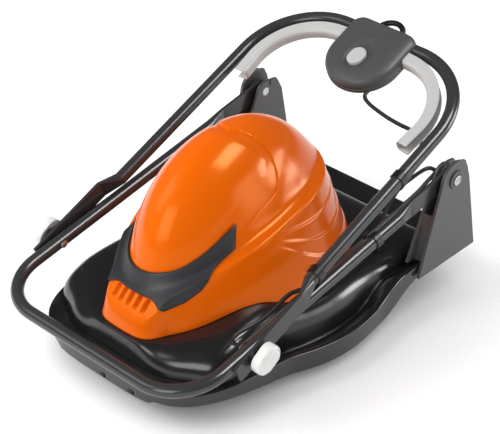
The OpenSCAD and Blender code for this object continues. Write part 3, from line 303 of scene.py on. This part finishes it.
# Shared effect: the skin of a moulded, painted or plated surface, which every finish below is laid on.
# Fine grain tilts the light, slow clouds vary colour and gloss, and a bevel softens the edges.
CLOUD_SCALE, COAT_ROUGHNESS = 14.0, 0.06
skin = bpy.data.node_groups.new("skin", "ShaderNodeTree")
for socket in ("Edge Radius", "Grain Size", "Grain Depth", "Roughness", "Spread"):
    skin.interface.new_socket(socket, in_out="INPUT", socket_type="NodeSocketFloat")
skin.interface.new_socket("Roughness", in_out="OUTPUT", socket_type="NodeSocketFloat")
skin.interface.new_socket("Cloud", in_out="OUTPUT", socket_type="NodeSocketFloat")
skin.interface.new_socket("Normal", in_out="OUTPUT", socket_type="NodeSocketVector")
skin_in = skin.nodes.new("NodeGroupInput")
skin_out = skin.nodes.new("NodeGroupOutput")
place = skin.nodes.new("ShaderNodeTexCoord")
edge = skin.nodes.new("ShaderNodeBevel")
edge.samples = 4
inverse = skin.nodes.new("ShaderNodeMath")
inverse.operation = "DIVIDE"
inverse.inputs[0].default_value = 1.0
grain = skin.nodes.new("ShaderNodeTexNoise")
grain.inputs["Detail"].default_value = 2.0
cloud = skin.nodes.new("ShaderNodeTexNoise")
cloud.inputs["Scale"].default_value = CLOUD_SCALE
cloud.inputs["Detail"].default_value = 3.0
swing = skin.nodes.new("ShaderNodeMath")
swing.operation = "SUBTRACT"
swing.inputs[1].default_value = 0.5
vary = skin.nodes.new("ShaderNodeMath")
vary.operation = "MULTIPLY_ADD"
bump = skin.nodes.new("ShaderNodeBump")
bump.inputs["Strength"].default_value = 1.0
link = skin.links.new
link(skin_in.outputs["Edge Radius"], edge.inputs["Radius"])
link(skin_in.outputs["Grain Size"], inverse.inputs[1])
link(place.outputs["Object"], grain.inputs["Vector"])
link(inverse.outputs[0], grain.inputs["Scale"])
link(place.outputs["Object"], cloud.inputs["Vector"])
link(cloud.outputs["Fac"], swing.inputs[0])
link(swing.outputs[0], vary.inputs[0])
link(skin_in.outputs["Spread"], vary.inputs[1])
link(skin_in.outputs["Roughness"], vary.inputs[2])
link(grain.outputs["Fac"], bump.inputs["Height"])
link(skin_in.outputs["Grain Depth"], bump.inputs["Distance"])
link(edge.outputs["Normal"], bump.inputs["Normal"])
link(vary.outputs[0], skin_out.inputs["Roughness"])
link(cloud.outputs["Fac"], skin_out.inputs["Cloud"])
link(bump.outputs["Normal"], skin_out.inputs["Normal"])

# Every finish by the name of its material slot
looks = {}


def finish_of(name, colour, roughness, spread=0.06, grain_mm=0.8, depth_mm=0.01, edge_mm=0.0,
              metal=0.0, coat=0.0, shade=0.9, tint=(1, 1, 1)):
    """Material over the shared skin: its colour clouds towards a darker shade, its gloss varies slowly."""
    look = bpy.data.materials.new(name)
    look.use_nodes = True
    graph = look.node_tree
    paint = graph.nodes["Principled BSDF"]
    effect = graph.nodes.new("ShaderNodeGroup")
    effect.node_tree = skin
    effect.inputs["Edge Radius"].default_value = edge_mm * MM
    effect.inputs["Grain Size"].default_value = grain_mm * MM
    effect.inputs["Grain Depth"].default_value = depth_mm * MM
    effect.inputs["Roughness"].default_value = roughness
    effect.inputs["Spread"].default_value = spread
    tone = graph.nodes.new("ShaderNodeMix")
    tone.data_type = "RGBA"
    tone.inputs["A"].default_value = (*[c * shade for c in colour], 1)
    tone.inputs["B"].default_value = (*colour, 1)
    graph.links.new(effect.outputs["Cloud"], tone.inputs["Factor"])
    graph.links.new(tone.outputs["Result"], paint.inputs["Base Color"])
    graph.links.new(effect.outputs["Roughness"], paint.inputs["Roughness"])
    graph.links.new(effect.outputs["Normal"], paint.inputs["Normal"])
    paint.inputs["Metallic"].default_value = metal
    paint.inputs["Specular Tint"].default_value = (*tint, 1)
    paint.inputs["Coat Weight"].default_value = coat
    paint.inputs["Coat Roughness"].default_value = COAT_ROUGHNESS
    looks[name] = look
    return look


hood_look = finish_of("hood_orange", (0.70, 0.108, 0.001), roughness=0.20, spread=0.05, grain_mm=0.5,
                      depth_mm=0.004, coat=0.04, shade=0.97, tint=(1.0, 0.42, 0.10))
VENTS, VENT_PITCH = 5, 14.5
VENT_W, VENT_L, VENT_TILT = 7, 22, 43
VENT_Y, VENT_Z = -HOOD_FRONT + 22, HOOD_Z + 42
VENT_DEPTH, VENT_ROLL, VENT_REACH = 8, (0.4, -1.4), 40


def slot_depth(points):
    """Depth of five rounded slots side by side on the nose: full inside each, with a steep rolled edge."""
    x, y, z = np.moveaxis(points, -1, 0)
    column = np.clip(np.round(x / VENT_PITCH), -(VENTS // 2), VENTS // 2)
    up = (y - VENT_Y) * cos_d(VENT_TILT) + (z - VENT_Z) * sin_d(VENT_TILT)
    past = np.maximum(np.abs(up) - (VENT_L - VENT_W) / 2, 0)
    gap = np.hypot(x - column * VENT_PITCH, past) - VENT_W / 2
    return VENT_DEPTH * smooth_step(*VENT_ROLL, gap) * (y < VENT_Y + VENT_REACH)


SCREW_Y, SCREW_Z = -10, HOOD_Z + 37
WELL_R, WELL_DEPTH, WELL_X = 5.5, 13, 100


def well_depth(points):
    """Depth of the round well in each side of the hood, over its screw."""
    x, y, z = np.moveaxis(points, -1, 0)
    away = np.hypot(y - SCREW_Y, z - SCREW_Z)
    return WELL_DEPTH * smooth_step(WELL_R + 0.5, WELL_R - 1.0, away) * (np.abs(x) > WELL_X)


COLLAR_HALF_W, COLLAR_BACK, COLLAR_CORNER = 83, -4, 20
COLLAR_NOTCH, NOTCH_HALF_W = 36, 62
COLLAR_STEP, COLLAR_LIP, COLLAR_BAND, COLLAR_Z = 5, 0.8, 24, (205, 228)


def collar_dip(points):
    """Depth of the step behind the egg: in plan a round-cornered end with a notch in its middle."""
    x, y, z = np.moveaxis(points, -1, 0)
    back = y - COLLAR_BACK + COLLAR_NOTCH * (1 - smooth_step(0, NOTCH_HALF_W, np.abs(x)))
    past = smooth_max(np.abs(x) - COLLAR_HALF_W, back, COLLAR_CORNER)
    band = (1 - smooth_step(0, COLLAR_BAND, -past)) * smooth_step(COLLAR_LIP, -COLLAR_LIP, past)
    return COLLAR_STEP * band * smooth_step(*COLLAR_Z, z)


HOOD_COLS, HOOD_ROWS, INNER_SKIP = 480, 186, 10
NOSE_CROWD, TOP_E = 18, 90
NOSE_WALL, NOSE_WALL_A = 9, (30, 20)
turn_t = np.arange(HOOD_COLS) * 360 / HOOD_COLS
hood_a = turn_t - NOSE_CROWD * sin_d(2 * turn_t)
rise = np.linspace(0, 1, HOOD_ROWS)[:, None]
hood_e = edge_e(hood_a) + (TOP_E - edge_e(hood_a)) * rise
all_a = hood_a + 0 * hood_e
outer = hood_point(all_a, hood_e, 0.0)
sunk = slot_depth(outer) + well_depth(outer) + collar_dip(outer)
outer = outer - sunk[..., None] * hood_ray(all_a, hood_e)
thickness = HOOD_WALL + NOSE_WALL * smooth_step(*NOSE_WALL_A, off_nose(all_a))
inner = hood_point(all_a, hood_e, -thickness)[::-INNER_SKIP]
hood_mesh = grid_mesh("hood_skin", np.concatenate([inner, outer], 0), wrap_cols=True)
hood_mesh.materials.append(hood_look)
add_piece(hood_mesh, "chassis", "hood_orange", "motor_hood")

# Deck: a semi-gloss charcoal moulding, one thin tray with a seat for the hood, a dome, a valley and a skirt.
# Two square holes in its front lip are made for a hook, and show as dark wells.
DECK_FRONT_HW, DECK_REAR_HW = 184, 197
DECK_FRONT, DECK_REAR = 300, 284
FRONT_POWER, REAR_POWER, SIDE_BLEND = 4, 14, 0.35
BULGE_R = 208
DECK_WALL = 3.2
RIM_SIDE_Z, RIM_FRONT_Z, RIM_REAR_Z = 52, 56, 76
RIM_FRONT_Y, RIM_REAR_Y = (60, 170), (60, 140)
RIM_BLEND, RIM_W, RIM_UNDER = 12, 9, 1
LEDGE_W, LEDGE_Y = 30, (230, 285)
SKIRT_SIDE_Z, SKIRT_FRONT_Z, SKIRT_REAR_Z = 18, 36, 55
SKIRT_FRONT_Y, SKIRT_REAR_Y = (40, 260), (78, 175)
SKIRT_IN, SKIRT_ROWS = 2, 8
LIP_HALF_W, LIP_SOFT, LIP_DROP, LIP_Y = 95, 8, 6, 200
HOOK_X, HOOK_HALF_W, HOOK_LOW, HOOK_HIGH, HOOK_DEPTH = (5, 62), 4.5, 33, 41, 9
VALLEY_W, VALLEY_DROP, VALLEY_LOSS, VALLEY_Y = 25, 14, 0.9, (100, 240)
DOME_BLEND, DOME_IN, DOME_OUT, DOME_LEAST, DOME_RIM = 40, 11, 4, 5, 2
DOME_STEPS, DOME_FULL, DOME_THIN = 16, 0.85, 0.25
HOLE_R = 75
SEAT_Z, SEAT_GAP = HOOD_Z - 4, 0.3
SEAT_IN, SEAT_EDGE, SEAT_UNDER = 16, 10, 8
DECK_FILLET, DOME_FILLET, FILLET_STEPS = 3.0, 30, 4
DECK_COLS, END_CROWD = 480, 10


def deck_plan(a, blend):
    """Plan radius of the tray: two superellipses, front and rear, bulging to a circle round the blade."""
    x, y = sin_d(a), -cos_d(a)
    half_w = DECK_FRONT_HW + (DECK_REAR_HW - DECK_FRONT_HW) * smooth_step(-SIDE_BLEND, SIDE_BLEND, y)
    front = superellipse(x, y, half_w, DECK_FRONT, FRONT_POWER)
    rear = superellipse(x, y, half_w, DECK_REAR, REAR_POWER)
    return smooth_max(np.where(y >= 0, rear, front), BULGE_R, blend)


def rim_r(a):
    """Plan radius of the rim."""
    return deck_plan(a, RIM_BLEND)


def along(a):
    """How far the rim lies behind the middle."""
    return -rim_r(a) * cos_d(a)


def rim_z(a):
    """Height of the rim: level at the sides, with S curves up to the front and the rear."""
    return (RIM_SIDE_Z + (RIM_FRONT_Z - RIM_SIDE_Z) * smooth_step(*RIM_FRONT_Y, -along(a))
            + (RIM_REAR_Z - RIM_SIDE_Z) * smooth_step(*RIM_REAR_Y, along(a)))


def skirt_z(a):
    """Height of the skirt's hem: lowest at the sides, S curves to both ends, and a lip hanging in front."""
    lip = 1 - smooth_step(LIP_HALF_W - LIP_SOFT, LIP_HALF_W + LIP_SOFT, rim_r(a) * np.abs(sin_d(a)))
    return (SKIRT_SIDE_Z + (SKIRT_FRONT_Z - SKIRT_SIDE_Z) * smooth_step(*SKIRT_FRONT_Y, -along(a))
            + (SKIRT_REAR_Z - SKIRT_SIDE_Z) * smooth_step(*SKIRT_REAR_Y, along(a))
            - np.where(along(a) < -LIP_Y, LIP_DROP * lip, 0))


def flat_w(a):
    """Width of the rim's flat, which widens to a ledge in front."""
    return RIM_W + (LEDGE_W - RIM_W) * smooth_step(*LEDGE_Y, -along(a))


def hood_edge_r(a):
    """Plan radius of the hood's foot, where the deck rises to meet it."""
    return hood_r(a, edge_e(a)) * cos_d(edge_e(a))


def hood_edge_z(a):
    """Height of the deck just under the hood's foot."""
    return hood_point(a, edge_e(a), -HOOD_WALL)[..., 2] - SEAT_GAP


def valley(a):
    """Share of the valley that is left: it runs out towards the straight front edge."""
    return 1 - VALLEY_LOSS * smooth_step(*VALLEY_Y, -along(a))


def dome(a, k, inset):
    """Point k of a slightly full quarter ellipse from the hood's foot to the valley: distance, height."""
    r0 = hood_edge_r(a) + DOME_OUT
    reach = np.minimum(deck_plan(a, DOME_BLEND) - (VALLEY_W + DOME_IN) * valley(a), rim_r(a) - DOME_RIM)
    r1 = np.maximum(reach - flat_w(a), r0 + DOME_LEAST)
    z0 = hood_edge_z(a)
    z1 = rim_z(a) - VALLEY_DROP * valley(a)
    q = 90 * k / DOME_STEPS
    out, up = sin_d(q) ** DOME_FULL, np.maximum(cos_d(q), 0) ** DOME_FULL
    return np.stack([r0 + (r1 - r0) * out - inset * out,
                     z1 + (z0 - z1) * up - inset * (DOME_THIN + (1 - DOME_THIN) * up)], -1)


def rounded(corners, radius, steps):
    """A closed outline, corner by column by coordinate, with each corner rounded by a short parabola."""
    longest_cut = 0.45
    before = np.roll(corners, 1, 0) - corners
    after = np.roll(corners, -1, 0) - corners
    reach = [np.linalg.norm(v, axis=-1, keepdims=True) for v in (before, after)]
    cut = np.minimum(np.asarray(radius), longest_cut * np.minimum(*reach))
    start = corners + before / reach[0] * cut
    end = corners + after / reach[1] * cut
    t = np.linspace(0, 1, steps)[:, None, None]
    arcs = (1 - t[:, None]) ** 2 * start + 2 * t[:, None] * (1 - t[:, None]) * corners + t[:, None] ** 2 * end
    return arcs.swapaxes(0, 1).reshape(-1, *corners.shape[1:])


deck_t = np.arange(DECK_COLS) * 360 / DECK_COLS
deck_a = deck_t - END_CROWD * sin_d(2 * deck_t)


def at(r, z):
    """One row of the deck's profile: distance and height at every plan angle."""
    return np.stack([r + 0 * deck_a, z + 0 * deck_a], -1)


deck_r, deck_z, foot_r = rim_r(deck_a), rim_z(deck_a), hood_edge_r(deck_a)
foot_z = hood_edge_z(deck_a)
rim_flat, hem_r, hem_z = flat_w(deck_a), deck_r - SKIRT_IN, skirt_z(deck_a)
under_z = deck_z - DECK_WALL
seat = [at(HOLE_R, SEAT_Z), at(foot_r - SEAT_IN, SEAT_Z), at(foot_r - SEAT_EDGE, foot_z)]
over_dome = [dome(deck_a, k, 0) for k in range(DOME_STEPS + 1)]
down_skirt = [at(deck_r - SKIRT_IN * k, deck_z + (hem_z - deck_z) * k)
              for k in np.linspace(0, 1, SKIRT_ROWS + 1)]
under_rim = [at(hem_r - DECK_WALL, hem_z), at(deck_r - DECK_WALL - RIM_UNDER, under_z),
             at(deck_r - rim_flat + RIM_UNDER, under_z)]
under_dome = [dome(deck_a, k, DECK_WALL) for k in range(DOME_STEPS, -1, -1)]
under_seat = [at(foot_r - SEAT_UNDER, SEAT_Z - DECK_WALL), at(HOLE_R, SEAT_Z - DECK_WALL)]
profile = np.stack(seat + over_dome + [at(deck_r - rim_flat, deck_z)] + down_skirt + under_rim + under_dome
                   + under_seat)
fillets = np.full((len(profile), 1, 1), DECK_FILLET)
fillets[len(seat):len(seat) + len(over_dome)] = DOME_FILLET
out_r, up_z = np.moveaxis(rounded(profile, fillets, FILLET_STEPS), -1, 0)
deck_points = np.stack([out_r * sin_d(deck_a), -out_r * cos_d(deck_a), up_z], -1)
lip_x, lip_z = deck_points[..., 0], deck_points[..., 2]
for hook_x in HOOK_X:
    in_hole = (np.abs(lip_x - hook_x) < HOOK_HALF_W) & (lip_z > HOOK_LOW) & (lip_z < HOOK_HIGH)
    deck_points[..., 1] += HOOK_DEPTH * (in_hole & (deck_points[..., 1] < -DECK_FRONT + DECK_WALL))
deck_mesh = grid_mesh("deck_skin", deck_points, wrap_cols=True, wrap_rows=True)
deck_look = finish_of("deck_charcoal", (0.012, 0.012, 0.013), roughness=0.23, spread=0.05, grain_mm=0.7,
                      depth_mm=0.006, coat=0.15, shade=0.8)
deck_mesh.materials.append(deck_look)
add_piece(deck_mesh, "chassis", "deck_charcoal", "deck_shell")

# Nose trim: a slate band moulded to the hood and clipped round the egg's nose above the slots.
# It is a closed strip, thin at its edges and ends, whose lower edge dips at the corners of the nose.
TRIM_HALF_A = 37
TRIM_LIFT, TRIM_T = 0.8, 3.4
TRIM_TUCK, TRIM_FLARE, FLARE_A = 1.5, 5.7, (12, 38)
TRIM_COLS, TRIM_ROWS = 240, 24
END_POWER, EDGE_POWER, EDGE_THIN = 30, 14, 0.6
# The lower edge as plan angle off the nose and rise above the foot
TRIM_EDGE = ((0, 12.6), (8, 12.6), (10, 12), (13.8, 9.8), (19.8, 13.3), (24.8, 18.2), (27, 22),
             (28, 26.6), (31.2, 30.7), (38, 37.2))
trim_a = np.linspace(-TRIM_HALF_A, TRIM_HALF_A, TRIM_COLS)
low_e = np.interp(np.abs(trim_a), *zip(*TRIM_EDGE))
foot_of_egg = first_rise(trim_a, lambda a, e: egg_r(a, e) - np.minimum(wall_r(a, e), roof_r(a, e)))
high_e = foot_of_egg - TRIM_TUCK + TRIM_FLARE * smooth_step(*FLARE_A, np.abs(trim_a))
across = np.linspace(0, 1, TRIM_ROWS)[:, None]
strip_e = low_e + (high_e - low_e) * across
ends = np.sqrt(1 - np.abs(trim_a / TRIM_HALF_A) ** END_POWER)
edges = np.sqrt(1 - np.abs(2 * across - 1) ** EDGE_POWER * EDGE_THIN)
swell = TRIM_LIFT + TRIM_T * ends * edges
outside = hood_point(trim_a + 0 * strip_e, strip_e, swell)
inside = hood_point(trim_a + 0 * strip_e, strip_e, TRIM_LIFT)
trim_mesh = grid_mesh("trim_skin", np.concatenate([outside, inside[::-1]], 0), wrap_rows=True)
trim_look = finish_of("trim_slate", (0.018, 0.019, 0.022), roughness=0.42, spread=0.08, grain_mm=0.6,
                      depth_mm=0.02, shade=0.85)
trim_mesh.materials.append(trim_look)
add_piece(trim_mesh, "chassis", "trim_slate", "nose_trim")

# Switch levers: light grey moulded channels, bent round the inside of the grip bar and open towards it.
# Each turns on a pin inside the switch box and rests a few degrees off the bar.
RISE_ANGLE = 22.5
UPPER_LENGTH, LEG_X, TUBE_R = 548, 190, 10
GRIP_BEND = 118
GRIP_X, GRIP_S = LEG_X - GRIP_BEND, UPPER_LENGTH - GRIP_BEND
PIN_X, PIN_S = 44, UPPER_LENGTH - 27
LEVER_SWING = 4.5
HAND_R, BACK_R = GRIP_BEND - TUBE_R - 22, GRIP_BEND - TUBE_R - 1.5
LEVER_N, LEVER_T = 7.5, 2.5
TAIL, ROOT = 34, 16
CHANNEL_ROUND = (1.2, 8, 8, 1.2, 1.0, 5.5, 5.5, 1.0)
washer_low, washer_high = (np.array(corner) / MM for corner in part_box("knob_washers"))
_, knob_y, knob_z = (washer_low + washer_high) / 2


def on_upper(x, s, n):
    """Point in the upper handle's own plane: x across, s up the legs from the knobs, n square to it."""
    return np.stack([x, knob_y + s * cos_d(RISE_ANGLE) - n * sin_d(RISE_ANGLE),
                     knob_z + s * sin_d(RISE_ANGLE) + n * cos_d(RISE_ANGLE)], -1)


def lever_points(side):
    """A rounded channel section carried along a straight tail, a quarter bend and a straight root.
    At both ends the section is drawn together on its middle line, which closes the wall."""
    top = LEVER_N + LEVER_T
    section = np.array([(BACK_R, top), (HAND_R, top), (HAND_R, -top), (BACK_R, -top), (BACK_R, -LEVER_N),
                        (HAND_R + LEVER_T, -LEVER_N), (HAND_R + LEVER_T, LEVER_N), (BACK_R, LEVER_N)], float)
    channel = rounded(section[:, None], np.array(CHANNEL_ROUND)[:, None, None], 8)[:, 0]
    root = 90 + np.linspace(0, ROOT, 5)[1:]
    walk = np.concatenate([[-TAIL], np.linspace(-TAIL, 0, 8)[:-1], np.linspace(0, 90, 40), root, root[-1:]])
    rings = np.tile(channel, (len(walk), 1, 1))
    rings[[0, -1]] = (channel + channel[::-1]) / 2
    r, n = np.moveaxis(rings, -1, 0)
    turn = np.clip(walk, 0, 90)[:, None]
    x = GRIP_X + r * cos_d(turn) - np.maximum(walk - 90, 0)[:, None]
    s = GRIP_S + r * sin_d(turn) + np.minimum(walk, 0)[:, None]
    dx, ds = x - PIN_X, s - PIN_S
    x = PIN_X + dx * cos_d(LEVER_SWING) + ds * sin_d(LEVER_SWING)
    s = PIN_S - dx * sin_d(LEVER_SWING) + ds * cos_d(LEVER_SWING)
    return on_upper(side * x, s, n + 0 * x)


lever_look = finish_of("lever_grey", (0.44, 0.44, 0.435), roughness=0.38, grain_mm=0.5, shade=0.94)
for side, body, node in ((1, "lever_right", "right_lever"), (-1, "lever_left", "left_lever")):
    lever_mesh = grid_mesh(f"{node}_skin", lever_points(side), wrap_cols=True)
    lever_mesh.materials.append(lever_look)
    add_piece(lever_mesh, body, "lever_grey", node)

# Lock button: an oval cap of the same light plastic, slightly crowned, in the dish on top of the box.
# It slides in the cover and is pressed before a lever will move.
BUTTON_S = UPPER_LENGTH - 62
BUTTON_W, BUTTON_L = 26, 33
COVER_H, BASE_H = 21, 18
BUTTON_TOP, BUTTON_FOOT = COVER_H + 3, 10
OVAL_COLS, OVAL_START = 96, 1


def stadium(width, length, t):
    """Outline of two half circles joined by straight sides, at angle t."""
    end = np.sign(cos_d(t)) * (length - width) / 2
    return np.stack([width / 2 * sin_d(t), width / 2 * cos_d(t) + end], -1)


oval_t = np.arange(OVAL_COLS) * 360 / OVAL_COLS + OVAL_START
# Rings of the cap from its foot to its crown: share of the outline and height over the edge
foot_n = BUTTON_FOOT - BUTTON_TOP
cap_levels = np.array([(0.0, foot_n), (1.0, foot_n), (1.0, -1.2), (0.985, -0.5), (0.94, -0.12), (0.7, 0.15),
                       (0.35, 0.3), (0.0, 0.35)])
oval = stadium(BUTTON_W, BUTTON_L, oval_t)
button_x = cap_levels[:, :1] * oval[:, 0]
button_s = BUTTON_S + cap_levels[:, :1] * oval[:, 1]
button_grid = on_upper(button_x, button_s, BUTTON_TOP + cap_levels[:, 1:] + 0 * button_x)
button_mesh = grid_mesh("button_cap", button_grid, wrap_cols=True)
button_mesh.materials.append(lever_look)
add_piece(button_mesh, "button", "lever_grey", "lock_button")

# Switch box: two fine-grained charcoal halves clamped round the grip bar, round in front and square behind.
# The cover has a shallow dish round the button, and the levers enter through both sides.
BOX_HALF_W = 61
BOX_S = UPPER_LENGTH - 48
BOX_REAR = UPPER_LENGTH + TUBE_R + 3
BOX_ROUND, BOX_CORNER = 9, 15
BOX_POWER = 3.64
DISH, DISH_FLAT = 2.6, 0.72
DISH_HALF_W, DISH_REAR, DISH_FRONT = 23, 42, 26
box_look = finish_of("box_charcoal", (0.062, 0.062, 0.064), roughness=0.46, grain_mm=0.45, depth_mm=0.03,
                     shade=0.85)


def half_box(height, up):
    """D-shaped rings that shrink towards the crown, a half circle in front and round corners behind.
    Their height follows a superellipse, and the first ring closes the parting plane."""
    w = sin_d(np.linspace(90, 0, 60))[:, None]
    reach = BOX_HALF_W * w
    n = height * (1 - w ** BOX_POWER) ** (1 / BOX_POWER)
    reach, n = np.concatenate([[[0]], reach]), np.concatenate([[[0]], n])
    fall = np.clip(n - (height - BOX_ROUND), 0, BOX_ROUND)
    rear = BOX_REAR - (BOX_ROUND - np.sqrt(BOX_ROUND ** 2 - fall ** 2))
    corner = np.minimum(BOX_CORNER, reach / 2)
    flat, straight = reach - corner, rear - corner - BOX_S
    front = np.linspace(-90, 90, 90)[None]
    side = np.linspace(0, 1, 18)[None, 1:]
    bend = np.linspace(0, 90, 10)[None, 1:]
    back = np.linspace(1, -1, 30)[None, 1:]
    x = np.concatenate([reach * sin_d(front), reach + 0 * side, flat + corner * cos_d(bend), flat * back,
                        -flat - corner * sin_d(bend), -reach + 0 * side[:, :-1]], 1)
    s = np.concatenate([-reach * cos_d(front), straight * side, straight + corner * sin_d(bend),
                        straight + corner + 0 * back, straight + corner * cos_d(bend),
                        straight * (1 - side[:, :-1])], 1) + BOX_S
    n = n + 0 * x
    if up:
        away = np.hypot(x / DISH_HALF_W, (s - BUTTON_S) / np.where(s > BUTTON_S, DISH_REAR, DISH_FRONT))
        n = n - DISH * (1 - smooth_step(DISH_FLAT, 1.0, away))
    return x, s, n if up else -n


for name, height, up, node in (("box_cover_skin", COVER_H, True, "switch_cover"),
                               ("box_base_skin", BASE_H, False, "switch_base")):
    box_mesh = grid_mesh(name, on_upper(*half_box(height, up)), wrap_cols=True)
    box_mesh.materials.append(box_look)
    add_piece(box_mesh, "upper_frame", "box_charcoal", node)

# Clamp knobs: near-white oval grips with a stepped face, moulded round the nut of each coach bolt.
# Each draws the two handles together through a black cupped washer.
KNOB_W, KNOB_L = 31, 46
KNOB_X = 212.4
KNOB_SHIFT, KNOB_TURN = 4, 10
knob_look = finish_of("knob_white", (0.66, 0.66, 0.65), roughness=0.34, grain_mm=0.6, shade=0.94)
# Rings from the foot to the middle of the face: how far drawn in, and how far out along the bolt
knob_levels = np.array([(1.6, 0.8), (1.0, 0), (0, 0.8), (0.0, 12.5), (0.8, 15.0), (2.6, 16.0), (4.4, 16.6),
                        (5.2, 18.0), (6.2, 19.4), (8.0, 20.0)])


def knob_points(side):
    """Ovals stacked along the bolt, drawn in step by step to the raised middle of the face."""
    rings = [stadium(KNOB_W - 2 * d, KNOB_L - 2 * d, oval_t) for d in knob_levels[:, 0]]
    rings = np.stack([0 * rings[0]] + rings + [0 * rings[0]])
    out = np.concatenate([knob_levels[:1, 1], knob_levels[:, 1], knob_levels[-1:, 1]])[:, None]
    s = rings[..., 1] + KNOB_SHIFT
    n = -rings[..., 0]
    turned_s = s * cos_d(KNOB_TURN) - n * sin_d(KNOB_TURN)
    turned_n = s * sin_d(KNOB_TURN) + n * cos_d(KNOB_TURN)
    return on_upper(side * (KNOB_X + out + 0 * s), turned_s, turned_n)


for side, body, node in ((1, "knob_right", "right_knob"), (-1, "knob_left", "left_knob")):
    knob_mesh = grid_mesh(f"{node}_skin", knob_points(side), wrap_cols=True)
    knob_mesh.materials.append(knob_look)
    add_piece(knob_mesh, body, "knob_white", node)

# Handle tubes: 20 mm steel tube, bent to two U shapes and flattened and drilled at the ends.
# The shapes are the CAD nodes' own, and the finish is a glossy graphite paint.
finish_of("tube_graphite", (0.034, 0.034, 0.036), roughness=0.22, spread=0.05, grain_mm=0.9, depth_mm=0.006,
          edge_mm=0.8, shade=0.85)

# Brackets: two satin grey clevis mouldings that stand on the deck's rear corners.
# The outer cheek of each has a raised ring moulded round the head of the pivot bolt.
RING_IN, RING_OUT, RING_H, RING_ROUND = 9, 14.5, 3.0, 1.2
HEAD_H = 4
RING_COLS = 72
bolt_low, bolt_high = (np.array(corner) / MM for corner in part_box("pivot_bolts"))
bracket_look = finish_of("bracket_grey", (0.070, 0.070, 0.072), roughness=0.36, depth_mm=0.02, edge_mm=1.2,
                         shade=0.85)


def ring_points(side):
    """A rounded square section turned about the pivot, standing on the cheek's outer face."""
    section = np.array([(RING_IN, 0), (RING_OUT, 0), (RING_OUT, RING_H), (RING_IN, RING_H)], float)
    r, out = np.moveaxis(rounded(section[:, None], RING_ROUND, 5)[:, 0], -1, 0)
    turn = np.arange(RING_COLS)[:, None] * 360 / RING_COLS
    middle = (bolt_low + bolt_high) / 2
    y, z = middle[1] + r * cos_d(turn), middle[2] + r * sin_d(turn)
    return np.stack([side * (bolt_high[0] - HEAD_H + out) + 0 * y, y, z], -1)


for side, name in ((1, "right_pivot_ring"), (-1, "left_pivot_ring")):
    ring_mesh = grid_mesh(name, ring_points(side), wrap_cols=True, wrap_rows=True)
    ring_mesh.materials.append(bracket_look)
    add_piece(ring_mesh, "chassis", "bracket_grey")

# Small black mouldings and rubber: clips, washers, cable, gland, belt and the ring for the mains cable.
# The plastic has a satin gloss and the rubber is duller.
finish_of("black_plastic", (0.006, 0.006, 0.006), roughness=0.38, grain_mm=0.6, depth_mm=0.015, edge_mm=0.5)
finish_of("rubber_black", (0.006, 0.006, 0.006), roughness=0.45, spread=0.08, grain_mm=0.5, depth_mm=0.02,
          edge_mm=0.3)

# Metal: plated fasteners and shafts, the ground blade, and the motor's copper and carbon inside the hood.
# Every CAD node that no piece above stands for then takes the finish of its own slot.
finish_of("steel", (0.55, 0.55, 0.56), roughness=0.30, spread=0.10, grain_mm=0.3, depth_mm=0.004,
          edge_mm=0.4, metal=1.0)
finish_of("blade_steel", (0.42, 0.42, 0.44), roughness=0.36, spread=0.14, grain_mm=0.4, depth_mm=0.012,
          edge_mm=0.4, metal=1.0, shade=0.75)
finish_of("copper", (0.72, 0.38, 0.20), roughness=0.32, spread=0.10, grain_mm=0.3, depth_mm=0.004,
          edge_mm=0.3, metal=1.0)
finish_of("carbon", (0.025, 0.025, 0.025), roughness=0.60, grain_mm=0.3, edge_mm=0.3)
slot_of = {part["node"]: part["material_slot"] for part in frame["record"]["subparts"]}
for name, node in nodes.items():
    if not node.hide_render:
        node.data.materials.clear()
        node.data.materials.append(looks[slot_of[name]])
